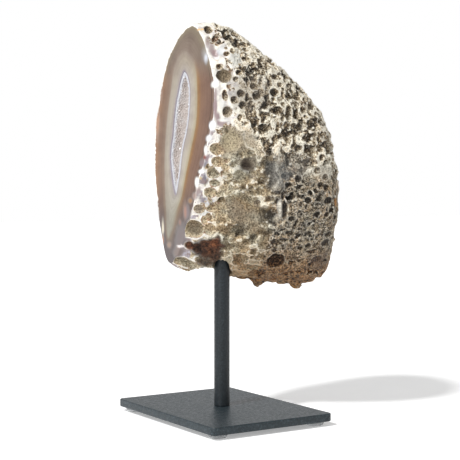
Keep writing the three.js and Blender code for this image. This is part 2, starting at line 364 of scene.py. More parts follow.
# Seeded pits of the coarse, the smooth and the fine skin. A higher power makes small ones more common. Of
# their places, those are left out that lie nearer to the face than the margin, or where a noise is low.
SEEDED_PITS = [
    {"tries": 26000, "least": 0.7, "most": 4.4, "power": 2.6, "depth": 0.65, "spacing": 0.7, "wide": 0.85,
     "margin": 1.8, "noise": (0.15, 0.5)},
    {"tries": 6000, "least": 1.0, "most": 7.5, "power": 1.2, "depth": 0.3, "spacing": 0.66, "wide": 1,
     "margin": 0.7, "noise": (0.1, 0.1)},
    {"tries": 15000, "least": 0.65, "most": 2.1, "power": 3.0, "depth": 0.75, "spacing": 1.0, "wide": 1,
     "margin": 0.7, "noise": (0.15, 0.6)},
]
# The margin at the left of the face, and where the left begins
LEFT_MARGIN = 10
LEFT_OF = -12
# Size of the cells by which neighbouring pits are found
PIT_CELL = 8


class PitMap:
    """Pits by the cell of a coarse lattice that their place is in."""

    def __init__(self):
        self.cells = {}

    def add(self, point, radius):
        cell = tuple(np.floor(point / PIT_CELL).astype(int))
        self.cells.setdefault(cell, []).append((point, radius))

    def near(self, point, reach):
        low = np.floor((point - reach) / PIT_CELL).astype(int)
        high = np.floor((point + reach) / PIT_CELL).astype(int)
        for cell in itertools.product(*(range(a, b + 1) for a, b in zip(low, high))):
            yield from self.cells.get(cell, ())

    def has_room(self, point, radius, spacing):
        others = self.near(point, radius + PIT_CELL)
        return all(np.linalg.norm(point - q) >= spacing * (radius + r) for q, r in others)


def pit_places(rng, region, kind):
    """Points, radii, stretches and depths for one kind of seeded pits, the widest first."""
    tries = kind["tries"]
    d = rng.normal(size=(tries, 3))
    d /= length(d)[:, None]
    points = CENTRE + d * skin_reach(d)[:, None]
    size = kind["least"] + (kind["most"] - kind["least"]) * rng.random(tries) ** kind["power"]
    depth = kind["depth"] * size * rng.uniform(0.8, 1.25, tries)
    stretch = rng.uniform(0.75, 1.35, tries) * kind["wide"]
    good = regions(points)[region] > rng.uniform(0.35, 0.65, tries)
    good &= points[:, 1] - size > FACE_Y + np.where(points[:, 0] < LEFT_OF, LEFT_MARGIN, kind["margin"])
    good &= value_noise(points, 9, 9) > rng.uniform(*kind["noise"], tries)
    from_rod = np.hypot(points[:, 0], points[:, 1])
    good &= ~((from_rod < HOLE_RADIUS + 1.5 + size) & (points[:, 2] < CENTRE[2]))
    keep = np.flatnonzero(good)
    keep = keep[np.argsort(-size[keep])]
    return points[keep], size[keep], stretch[keep], depth[keep]


def seeded_pits(taken):
    """More pits by chance, each kept where it isn't on one that is there already."""
    rng = np.random.default_rng(77)
    pits = []
    there = PitMap()
    for point, _, width, tall, _ in taken:
        there.add(point, max(width, tall) * 0.95)
    for px, py, radius in CLEAR_SPOTS:
        there.add(under_pixel(px, py), radius * (VIEW_DISTANCE / FOCAL_PX))
    for region, kind in enumerate(SEEDED_PITS):
        points, *sizes = pit_places(rng, region, kind)
        for point, normal, radius, stretch, depth in zip(points, skin_normals(points), *sizes):
            if there.has_room(point, radius, kind["spacing"]):
                there.add(point, radius)
                pits.append((point, normal, radius * stretch, radius / stretch, depth))
    return pits


# Bites out of the outline and knobs on it: pixel, half width and half height in pixels, and reach towards
# and away from the camera in millimetres
BITES = [
    (205, 283, 21, 16.5, 26), (329, 234, 3.2, 3.4, 7), (277, 292, 12, 7.5, 12),
    (245, 285, 9, 6, 14), (308, 291, 6, 7, 10), (318, 281, 5, 5, 8),
]
KNOBS = [(257.5, 279, 11, 8.5, 9), (296, 280, 10, 9.5, 9), (332, 240, 4, 6, 9), (281, 280.5, 9, 5.5, 8)]
KNOB_POWER = 1.15
# Where the stone is broken away in front of the rod's hole: centre and radius in millimetres
CHIP = ((5.0, -3.2, 76.8), 5.0)


def picture_ball(points, px, py, half_width, half_height, reach, power=2.0):
    """Signed distance to a ball, pointed where the power is 1, set at the stone's limb."""
    middle = limb_at(px, py)
    sizes = np.array([half_width * pixel_size(middle), half_height * pixel_size(middle), reach])
    ways = np.array([RIGHT, UPWARD, FORWARD]) / sizes[:, None]
    offset = np.abs((points - middle) @ ways.T)
    return ((offset ** power).sum(-1) ** (1 / power) - 1) * sizes.min()


# The pitted stone as a grid of signed distances, and its surface

def grid_points():
    count = np.round((GRID_HIGH - GRID_LOW) / GRID_STEP).astype(int)
    axes = [GRID_LOW[k] + GRID_STEP * np.arange(count[k]) for k in range(3)]
    return np.stack(np.meshgrid(*axes, indexing="ij"), -1)


# Points worked out at once, and the distance from the skin within which the grid is exact
CHUNK = 400000
SHELL = 9
# Room round a pit's ball in which its walls, moved by the drift, can lie
PIT_ROOM = 1.6
# Distance inside the surface of a corner of the grid that is filled
FILLED = 0.05 * GRID_STEP


def drift_at(points):
    """The offset that makes the pits' walls uneven."""
    wide, fine = (
        np.stack([value_noise(points, size, seed + axis) - 0.5 for axis in range(3)], -1)
        for size, seed in ((2.7, 21), (1.3, 31))
    )
    share = 0.7 + 0.3 * smoothstep(100, 142, points[..., 2:])
    return share * (3.8 * wide + 2.0 * fine)


def carve(field, warped, pits):
    """Cut each pit out of the field, inside its own block of the grid."""
    for pit in pits:
        centre, axes, ball, reach = pit_axes(*pit)
        reach += PIT_ROOM
        low = np.maximum(np.floor((centre - reach - GRID_LOW) / GRID_STEP).astype(int), 0)
        high = np.minimum(np.ceil((centre + reach - GRID_LOW) / GRID_STEP).astype(int) + 1, field.shape)
        if (high > low).all():
            block = tuple(slice(a, b) for a, b in zip(low, high))
            away = (length((warped[block] - centre) @ axes.T) - 1) * ball
            np.maximum(field[block], -away, out=field[block])


def relief_at(points):
    """Depth of the skin's creases and of its grain, nothing at the face."""
    back = points[:, 1] - FACE_Y
    left_rim = smoothstep(8, 20, -points[:, 0]) * (1 - smoothstep(6, 16, back))
    behind = smoothstep(0.5, 4, back) * (1 - 0.85 * left_rim)
    coarse, smooth, _ = regions(points)
    creases = behind * (1.0 + 2.0 * coarse) * np.abs(layered_noise(points, 6, 51) - 0.5)
    grain = behind * (1.3 - 0.8 * smooth) * (layered_noise(points, 2.4, 55) - 0.5)
    return creases, grain


def shaped_skin(points, warp, skin):
    """The skin's distances with the knobs, the bites and the chip that the outline shows, and its relief."""
    moved = points + 0.6 * warp
    for mark in KNOBS:
        skin = np.minimum(skin, picture_ball(moved, *mark, power=KNOB_POWER))
    for mark in BITES:
        skin = np.maximum(skin, -picture_ball(moved, *mark))
    middle, radius = CHIP
    skin = np.maximum(skin, radius - length(moved - middle))
    for part in relief_at(points):
        skin = skin + part
    return skin


def stone_field():
    """Signed distances to the pitted stone over the grid, with its listed and its seeded pits."""
    points = grid_points()
    flat = points.reshape(-1, 3)
    parts = [above_skin(flat[start:start + CHUNK]) for start in range(0, len(flat), CHUNK)]
    field = np.concatenate(parts).reshape(points.shape[:3])
    slopes = np.gradient(field, GRID_STEP)
    field = field / np.maximum(np.sqrt(sum(s * s for s in slopes)), 0.5)
    shell = np.abs(field) < SHELL
    warp = drift_at(points[shell])
    warped = points.copy()
    warped[shell] += warp
    field[shell] = shaped_skin(points[shell], warp, field[shell])
    listed = listed_pits()
    seeded = seeded_pits(listed)
    carve(field, points + LISTED_DRIFT * (warped - points), listed)
    carve(field, warped, seeded)
    bore_x, bore_y = HOLE_CENTRE
    bore = np.hypot(points[..., 0] - bore_x, points[..., 1] - bore_y) - HOLE_RADIUS
    field = np.maximum(field, -np.maximum(bore, points[..., 2] - HOLE_TOP))
    field = np.maximum(field, points[..., 1] - BACK_LIMIT)
    for axis in range(3):
        np.moveaxis(field, axis, 0)[[0, -1]] = 1
    return field, listed, seeded


def shifted(array, axis, *after):
    """The array without its first or its last layer along each of the two other axes."""
    cut = [slice(None)] * 3
    for other, second in zip([k for k in range(3) if k != axis], after):
        cut[other] = slice(1, None) if second else slice(None, -1)
    return array[tuple(cut)]


def without_crossings(field):
    """Fill the corners that would let two sheets of the surface meet in one edge."""
    square = ((0, 0), (1, 0), (1, 1), (0, 1))
    for _ in range(12):
        fill = np.zeros(field.shape, bool)
        inside = field < 0
        for axis in range(3):
            a, b, c, d = corners = [shifted(inside, axis, *corner) for corner in square]
            crossed = (a == c) & (b == d) & (a != b)
            for corner, own in zip(square, corners):
                shifted(fill, axis, *corner)[crossed & ~own] = True
        if not fill.any():
            break
        field[fill] = -FILLED
    return field


def net_of(field):
    """Closed quads where the field crosses zero, with one vertex in each cell that it crosses."""
    inside = field < 0
    cells = np.array(field.shape)
    strides = np.array([cells[1] * cells[2], cells[2], 1])
    keys, places, quads = [], [], []
    for axis in range(3):
        low = [slice(None)] * 3
        high = [slice(None)] * 3
        low[axis], high[axis] = slice(None, -1), slice(1, None)
        low, high = tuple(low), tuple(high)
        crossing = inside[low] != inside[high]
        index = np.argwhere(crossing)
        f0, f1 = field[low][crossing], field[high][crossing]
        place = index.astype(float)
        place[:, axis] += f0 / (f0 - f1)
        b, c = (axis + 1) % 3, (axis + 2) % 3
        around = []
        for back_b, back_c in ((1, 1), (0, 1), (0, 0), (1, 0)):
            key = index @ strides - back_b * strides[b] - back_c * strides[c]
            around.append(key)
            keys.append(key)
            places.append(place)
        quad = np.stack(around, -1)
        inward = f0 > 0
        quad[inward] = quad[inward][:, ::-1]
        quads.append(quad)
    keys, places, quads = np.concatenate(keys), np.concatenate(places), np.concatenate(quads)
    names, where = np.unique(keys, return_inverse=True)
    count = np.bincount(where)
    vertices = np.stack([np.bincount(where, places[:, k]) / count for k in range(3)], -1)
    return GRID_LOW + GRID_STEP * vertices, np.searchsorted(names, quads)


def largest_body(vertices, quads):
    """The largest of the bodies that the quads bound."""
    label = np.arange(len(vertices))
    edges = np.concatenate([quads[:, [0, 1]], quads[:, [1, 2]], quads[:, [2, 3]]])
    while True:
        least = np.minimum(label[edges[:, 0]], label[edges[:, 1]])
        new = label.copy()
        np.minimum.at(new, edges[:, 0], least)
        np.minimum.at(new, edges[:, 1], least)
        new = new[new]
        if (new == label).all():
            break
        label = new
    keep = label == np.bincount(label).argmax()
    renumber = np.cumsum(keep) - 1
    return vertices[keep], renumber[quads[keep[quads[:, 0]]]]


def thinned(vertices, quads):
    """The same surface with fewer faces, most of them taken where the photograph doesn't show it."""
    piece = new_piece("stone_net", vertices, quads.tolist())
    hidden = np.round(smoothstep(0.25, -0.1, skin_normals(vertices) @ TO_CAMERA), 1)
    group = piece.vertex_groups.new(name="hidden")
    for level in np.unique(hidden):
        group.add(np.flatnonzero(hidden == level).tolist(), float(0.25 + 0.75 * level), "REPLACE")
    thin = piece.modifiers.new("thin", "DECIMATE")
    thin.ratio = CRUST_TRIANGLES / (2 * len(quads))
    thin.use_collapse_triangulate = True
    thin.vertex_group = group.name
    shown = piece.evaluated_get(bpy.context.evaluated_depsgraph_get())
    result = bmesh.new()
    result.from_mesh(shown.to_mesh())
    shown.to_mesh_clear()
    bpy.data.meshes.remove(piece.data)
    # Triangles that the thinning folded onto each other, without other neighbours
    folded = [face for face in result.faces if len({f for edge in face.edges for f in edge.link_faces}) < 3]
    bmesh.ops.delete(result, geom=folded, context="FACES")
    return result


# The polished face with its hollow

def smooth_outline(corners, spacing):
    """A closed curve through the corners, as points about the given distance apart."""
    corners = np.array(corners, float)
    points = []
    for k in range(len(corners)):
        a, b, c, d = (corners[(k + n) % len(corners)] for n in (-1, 0, 1, 2))
        count = max(1, int(round(np.linalg.norm(c - b) / spacing)))
        for t in np.arange(count) / count:
            bend = (2 * a - 5 * b + 4 * c - d) * t * t + (3 * b - a - 3 * c + d) * t ** 3
            points.append(0.5 * (2 * b + (c - a) * t + bend))
    return np.array(points)


def inside_edges(points, starts, ends):
    """Whether each point is inside the area that the edges bound."""
    within = np.zeros(len(points), bool)
    for a, b in zip(starts, ends):
        if a[1] == b[1]:
            continue
        spans = (a[1] > points[:, 1]) != (b[1] > points[:, 1])
        crossing = a[0] + (points[:, 1] - a[1]) * (b[0] - a[0]) / (b[1] - a[1])
        within ^= spans & (points[:, 0] < crossing)
    return within


def distance_to(points, outline):
    """Distance from each point to a closed outline."""
    best = np.full(len(points), np.inf)
    for a, b in zip(outline, np.roll(outline, -1, 0)):
        run = b - a
        t = np.clip(((points - a) @ run) / (run @ run), 0, 1)
        best = np.minimum(best, length(points - a - t[:, None] * run))
    return best


def triangles_within(points, edges, starts, ends):
    """Triangles over the flat points, inside the area that the given edges bound."""
    flat = [Vector(p) for p in points]
    made = delaunay_2d_cdt(flat, [tuple(e) for e in edges], [], 0, 1e-5)
    source = [origin[0] if origin else -1 for origin in made[3]]
    triangles = np.array([[source[k] for k in face] for face in made[2]])
    triangles = triangles[(triangles >= 0).all(1)]
    middles = points[triangles].mean(1)
    return triangles[inside_edges(middles, starts, ends)]


def inside_loop(points, loop):
    return inside_edges(points, loop, np.roll(loop, -1, 0))


def ring_edges(numbers):
    """The edges of a closed ring of numbered points."""
    return np.stack([numbers, np.roll(numbers, -1)], -1)


def tree_of(points):
    tree = KDTree(len(points))
    for k, point in enumerate(points):
        tree.insert(point, k)
    tree.balance()
    return tree


def triangles_in_loop(points, count):
    """Triangles over the flat points, inside the loop that the first of them make."""
    loop = points[:count]
    return triangles_within(points, ring_edges(np.arange(count)), loop, np.roll(loop, -1, 0))


def hex_points(low, high, spacing):
    """Points in staggered rows."""
    rows = np.arange(low[1], high[1], spacing * math.sqrt(3) / 2)
    points = [
        (x + (spacing / 2 if row % 2 else 0), z)
        for row, z in enumerate(rows)
        for x in np.arange(low[0], high[0], spacing)
    ]
    return np.array(points)


HOLLOW = {"mid_x": -3.0, "mid_z": 145.0, "lean": 0.155, "half_width": 8.5, "half_height": 31.0}
HOLLOW_LOOP = smooth_outline(HOLLOW_OUTLINE, 0.8)
CREAM_LOOP = smooth_outline(CREAM_OUTLINE, 1.2)


def inset(points, amount):
    """Points of the hollow's outline moved in, across and along the leaning hollow."""
    tall = points[:, 1] - HOLLOW["mid_z"]
    across = points[:, 0] - HOLLOW["mid_x"] - HOLLOW["lean"] * tall
    tall = tall * (1 - 1.6 * amount / HOLLOW["half_height"])
    across = across * (1 - amount / HOLLOW["half_width"])
    return np.stack([HOLLOW["mid_x"] + HOLLOW["lean"] * tall + across, HOLLOW["mid_z"] + tall], -1)


def on_face(points, depth=0.0):
    """Flat points put on the face's plane, or behind it."""
    depth = np.broadcast_to(depth, len(points))
    return np.stack([points[:, 0], FACE_Y + depth, points[:, 1]], -1)


def cut_skin(field):
    """The skin's vertices and faces behind the face's plane, and its open edges on that plane."""
    bm = thinned(*largest_body(*net_of(without_crossings(field))))
    everything = bm.verts[:] + bm.edges[:] + bm.faces[:]
    plane = {"plane_co": (0, FACE_Y, 0), "plane_no": (0, -1, 0), "dist": 0.02}
    bmesh.ops.bisect_plane(bm, geom=everything, clear_outer=True, **plane)
    bm.verts.index_update()
    skin = np.array([v.co[:] for v in bm.verts])
    faces = [[v.index for v in f.verts] for f in bm.faces]
    rim_edges = np.array([[v.index for v in e.verts] for e in bm.edges if len(e.link_faces) == 1])
    bm.free()
    skin[np.unique(rim_edges), 1] = FACE_Y
    return skin, faces, rim_edges


def with_face(skin, rim_edges):
    """The vertices with the face's, the numbers of the hollow's mouth, and the face's triangles."""
    rim = np.unique(rim_edges)
    rim_flat = skin[rim][:, [0, 2]]
    order = np.searchsorted(rim, rim_edges)
    starts = np.concatenate([rim_flat[order[:, 0]], HOLLOW_LOOP])
    ends = np.concatenate([rim_flat[order[:, 1]], np.roll(HOLLOW_LOOP, -1, 0)])
    grid = hex_points(rim_flat.min(0), rim_flat.max(0), FACE_SPACING)
    grid = grid[inside_edges(grid, starts, ends)]
    tree = tree_of([(*middle, 0) for middle in (starts + ends) / 2])
    grid = grid[[tree.find((x, z, 0))[2] > 0.6 * FACE_SPACING for x, z in grid]]
    mouth = np.arange(len(HOLLOW_LOOP))
    edges = np.concatenate([order, ring_edges(len(rim) + mouth)])
    triangles = triangles_within(np.concatenate([rim_flat, HOLLOW_LOOP, grid]), edges, starts, ends)
    numbers = np.concatenate([rim, len(skin) + np.arange(len(HOLLOW_LOOP) + len(grid))])
    vertices = np.concatenate([skin, on_face(HOLLOW_LOOP), on_face(grid)])
    return vertices, len(skin) + mouth, facing(vertices, numbers[triangles], -1)


def with_basin(vertices, ring):
    """The vertices with those of the hollow's wall and floor, and the faces between them."""
    faces = []
    for amount, depth in HOLLOW_WALL:
        new = len(vertices) + np.arange(len(ring))
        vertices = np.concatenate([vertices, on_face(inset(HOLLOW_LOOP, amount), depth)])
        faces += np.stack([ring, np.roll(ring, -1), np.roll(new, -1), new], -1).tolist()
        ring = new
    inner = triangles_in_loop(vertices[ring][:, [0, 2]], len(ring))
    return vertices, faces + facing(vertices, ring[inner], -1)


def sawn_stone():
    """Vertices, faces and the number of each face's material: 0 the skin, 1 the face, 2 the hollow."""
    field, listed, seeded = stone_field()
    skin, skin_faces, rim_edges = cut_skin(field)
    vertices, mouth, triangles = with_face(skin, rim_edges)
    vertices, basin = with_basin(vertices, mouth)
    parts = [skin_faces, triangles, basin]
    kinds = np.repeat([0, 1, 2], [len(part) for part in parts])
    return vertices, sum(parts, []), kinds, rim_edges, listed, seeded


def facing(vertices, triangles, side):
    """Triangles turned so that they all face -Y or all face +Y."""
    a, b, c = (vertices[triangles[:, k]] for k in range(3))
    turned = np.cross(b - a, c - a)[:, 1] * side < 0
    triangles = triangles.copy()
    triangles[turned] = triangles[turned][:, ::-1]
    return triangles.tolist()


def in_frame(points):
    """Millimetres from the rod's axis to metres in the row frame."""
    return points * MM + AXIS


def new_piece(name, vertices, faces, smooth=True):
    mesh = bpy.data.meshes.new(name)
    mesh.from_pydata(vertices, [], faces)
    mesh.polygons.foreach_set("use_smooth", [smooth] * len(mesh.polygons))
    mesh.validate()
    piece = bpy.data.objects.new(name, mesh)
    bpy.context.collection.objects.link(piece)
    return piece


def put_values(mesh, name, values):
    mesh.attributes.new(name, "FLOAT", "POINT").data.foreach_set("value", np.asarray(values, np.float32))


def put_colours(mesh, name, values):
    attribute = mesh.attributes.new(name, "FLOAT_COLOR", "POINT")
    attribute.data.foreach_set("color", np.asarray(values, np.float32).ravel())


def edges_of(mesh):
    ends = np.empty(2 * len(mesh.edges), np.int64)
    mesh.edges.foreach_get("vertices", ends)
    return ends.reshape(-1, 2)


def normals_of(mesh):
    normals = np.empty(3 * len(mesh.vertices))
    mesh.vertex_normals.foreach_get("vector", normals)
    return normals.reshape(-1, 3)


# Colours and nodes

def linear(*rgb):
    """An sRGB colour of 0 to 255 as linear light."""
    c = np.array(rgb) / 255
    return tuple(np.where(c <= 0.04045, c / 12.92, ((c + 0.055) / 1.055) ** 2.4)) + (1.0,)


class Value:
    """A node's output, which can be multiplied by, added to or lessened by a number or another output."""

    def __init__(self, nodes, socket):
        self.nodes = nodes
        self.socket = socket

    def __mul__(self, other):
        return self.nodes.math("MULTIPLY", self, other)

    def __add__(self, other):
        return self.nodes.math("ADD", self, other)

    def __sub__(self, other):
        return self.nodes.math("SUBTRACT", self, other)


class Nodes:
    """The nodes of a material or a world: most calls add one and return its main output."""

    def __init__(self, owner):
        owner.use_nodes = True
        self.owner = owner
        self.tree = owner.node_tree
        self.tree.nodes.clear()

    def plug(self, socket, value):
        if isinstance(value, Value):
            self.tree.links.new(value.socket, socket)
        else:
            socket.default_value = value

    def node(self, kind, settings=(), **inputs):
        """A node, with its inputs by name, or by number as i0, i1 and so on."""
        node = self.tree.nodes.new("ShaderNode" + kind)
        for key, value in dict(settings).items():
            setattr(node, key, value)
        for key, value in inputs.items():
            numbered = key[0] == "i" and key[1:].isdigit()
            self.plug(node.inputs[int(key[1:]) if numbered else key.replace("_", " ")], value)
        return node

    def add(self, kind, output=0, settings=(), **inputs):
        return Value(self, self.node(kind, settings, **inputs).outputs[output])

    def math(self, operation, a, b, clamp=False):
        return self.add("Math", settings={"operation": operation, "use_clamp": clamp}, i0=a, i1=b)

    def range(self, value, low, high, to_low=0.0, to_high=1.0, smooth=True):
        settings = {"interpolation_type": "SMOOTHSTEP" if smooth else "LINEAR"}
        return self.add("MapRange", settings=settings, i0=value, i1=low, i2=high, i3=to_low, i4=to_high)

    def between(self, share, low, high):
        """A value from low to high, by a share from 0 to 1."""
        return self.range(share, 0, 1, low, high, False)

    def mix(self, share, a, b, blend="MIX"):
        """A colour over or with another: the second is an output or three numbers of 0 to 255."""
        b = linear(*b) if isinstance(b, tuple) else b
        return self.add("Mix", 2, {"data_type": "RGBA", "blend_type": blend}, i0=share, i6=a, i7=b)

    def ramp(self, value, stops):
        """A colour for a value: stops are the place and three numbers of 0 to 255."""
        node = self.node("ValToRGB", i0=value)
        elements = node.color_ramp.elements
        elements.remove(elements[1])
        for k, (place, *rgb) in enumerate(stops):
            element = elements[0] if k == 0 else elements.new(place)
            element.position = place
            element.color = linear(*rgb)
        return Value(self, node.outputs[0])

    def attribute(self, name, output="Fac"):
        return self.add("Attribute", output, {"attribute_name": name})

    def place(self):
        """Millimetres over the object."""
        return self.add("Mapping", Vector=self.add("TexCoord", "Object"), Scale=[1 / MM] * 3)

    def noise(self, vector, size, detail=3.0, rough=0.55):
        return self.add("TexNoise", "Fac", Vector=vector, Scale=1 / size, Detail=detail, Roughness=rough)

    def vector(self, operation, a, b):
        return self.add("VectorMath", settings={"operation": operation}, i0=a, i1=b)

    def warped(self, vector, size, amount):
        """The place moved by noise of the given size, in millimetres."""
        drift = self.add("TexNoise", "Color", Vector=vector, Scale=1 / size, Detail=2.0)
        centred = self.vector("SUBTRACT", drift, (0.5, 0.5, 0.5))
        return self.vector("ADD", vector, self.vector("MULTIPLY", centred, (2 * amount,) * 3))

    def cells(self, vector, size):
        """Distance from the walls between cells of the given size."""
        settings = {"feature": "DISTANCE_TO_EDGE"}
        return self.add("TexVoronoi", "Distance", settings, Vector=vector, Scale=1 / size)

    def bump(self, height, distance, strength=1.0, **normal):
        return self.add("Bump", Height=height, Distance=distance * MM, Strength=strength, **normal)

    def finish(self, **sockets):
        self.node("OutputMaterial", Surface=self.add("BsdfPrincipled", **sockets))
        return self.owner


def material_nodes(name):
    return Nodes(bpy.data.materials.new(name))


# Values on the stone's surface that its materials read

# Marks read from the photograph: pixel, half width and half height in pixels, softness, strength, and
# the colour as three numbers of 0 to 255
VEINS_AND_PAINTED_GLARE = [
    (181, 238, 5.5, 13, 0.5, 0.9, 104, 91, 90), (178, 252, 5, 6, 0.5, 0.85, 116, 98, 90),
    (186.5, 212, 3, 7, 0.5, 0.85, 120, 104, 106), (198, 190, 2.6, 4, 0.4, 0.9, 148, 122, 112),
    (194.5, 196, 2.6, 4, 0.4, 0.85, 152, 128, 118), (182, 246, 4.5, 0.9, 0.5, 0.9, 240, 236, 232),
    (215.3, 108, 2.0, 12, 0.4, 0.95, 140, 118, 120), (215.5, 93, 1.3, 6, 0.4, 0.9, 150, 130, 130),
    (222, 123.5, 5, 3.2, 0.35, 0.95, 150, 130, 132), (218, 118, 2, 6, 0.4, 0.95, 138, 116, 118),
    (212.5, 125.5, 3.6, 5.5, 0.3, 1, 244, 246, 248), (211, 133, 2, 2.5, 0.5, 0.8, 165, 148, 152),
    (207, 158, 3.2, 4, 0.4, 0.9, 122, 96, 104), (204.6, 157, 1.5, 2, 0.5, 0.9, 125, 62, 48),
    (206, 165.5, 2.6, 4.5, 0.35, 0.9, 118, 112, 124), (202, 163, 2.2, 4, 0.5, 0.8, 126, 104, 106),
    (201.5, 171.5, 3.5, 2.6, 0.4, 1, 244, 244, 242), (204.5, 180.5, 4, 4, 0.35, 0.95, 128, 108, 108),
    (205.5, 177, 2, 3.4, 0.4, 0.9, 108, 106, 118), (200.5, 178, 1.2, 1.6, 0.5, 0.8, 205, 175, 110),
    (197, 183, 2.2, 6, 0.4, 0.9, 244, 242, 236), (203.5, 200.5, 4.4, 3.4, 0.4, 0.9, 132, 122, 132),
    (199, 194, 2.6, 5, 0.5, 0.7, 150, 138, 140), (190.5, 200.8, 2.4, 2.6, 0.5, 0.85, 146, 106, 62),
    (185, 211, 1.6, 9, 0.7, 0.45, 176, 122, 88), (180, 222, 1.4, 3, 0.6, 0.5, 172, 108, 78),
    (169, 245, 2.4, 3, 0.7, 0.55, 186, 140, 100), (181, 246.8, 3.4, 0.9, 0.5, 0.8, 228, 216, 214),
    (162.8, 228, 1.3, 8, 0.7, 0.85, 226, 216, 190), (163, 240, 1.3, 5, 0.6, 0.7, 190, 130, 90),
    (157.5, 122, 2.4, 15, 0.8, 0.65, 194, 144, 106), (161, 92, 1.6, 9, 0.8, 0.45, 190, 150, 120),
    # Painted glare: a bluish-white reflection on the polished face
    (205, 54, 3.2, 6, 0.8, 0.4, 226, 230, 240), (206, 59, 2.2, 4.5, 0.7, 0.7, 226, 232, 244),
    (198.6, 29.6, 1.7, 1.2, 0.4, 0.95, 214, 120, 50), (202.3, 29.3, 1.5, 0.9, 0.4, 0.9, 226, 160, 90),
    (200.5, 29.6, 4.2, 2, 0.5, 0.5, 246, 214, 140), (214.5, 39.5, 1.1, 1.4, 0.5, 0.8, 204, 140, 90),
    (221.5, 41.8, 1.9, 1.9, 0.4, 0.6, 232, 206, 150), (216.5, 60, 1.1, 0.9, 0.5, 0.85, 226, 150, 60),
    (216.5, 57, 3, 3.5, 0.4, 0.9, 246, 246, 244), (211.5, 48, 3.0, 7, 0.5, 0.9, 148, 130, 128),
    (207.5, 41, 2.4, 6, 0.5, 0.9, 150, 134, 130), (215.5, 53.5, 3.6, 4, 0.4, 0.9, 146, 122, 122),
    (221, 51, 3.4, 4.5, 0.5, 0.8, 222, 228, 236), (236, 59, 8, 9, 0.6, 0.8, 226, 226, 218),
    (223, 49, 4, 6, 0.6, 0.7, 238, 238, 234), (217, 78, 3, 9, 0.5, 0.85, 244, 244, 240),
    (215, 84, 4, 4, 0.4, 0.9, 248, 247, 242), (222, 103, 3, 7, 0.6, 0.7, 242, 242, 238),
    (224, 120, 5.5, 1.6, 0.5, 0.8, 244, 242, 236), (209, 138, 3.4, 3.4, 0.5, 0.9, 240, 240, 240),
    (206, 150, 2, 5, 0.4, 0.9, 244, 242, 238), (225, 156, 4, 2.4, 0.5, 0.9, 244, 240, 226),
    (231, 163, 3, 4, 0.6, 0.7, 236, 230, 214), (210, 162, 1.6, 4, 0.4, 0.9, 244, 242, 236),
    (207, 172, 1.6, 5, 0.4, 0.9, 244, 242, 238), (210, 202, 4.4, 3.6, 0.5, 0.85, 236, 236, 240),
    (205, 214, 4.5, 2, 0.5, 0.9, 242, 240, 236), (238, 170, 3, 5, 0.7, 0.5, 214, 206, 186),
    (226, 176, 3, 2.4, 0.6, 0.5, 226, 220, 206),
]

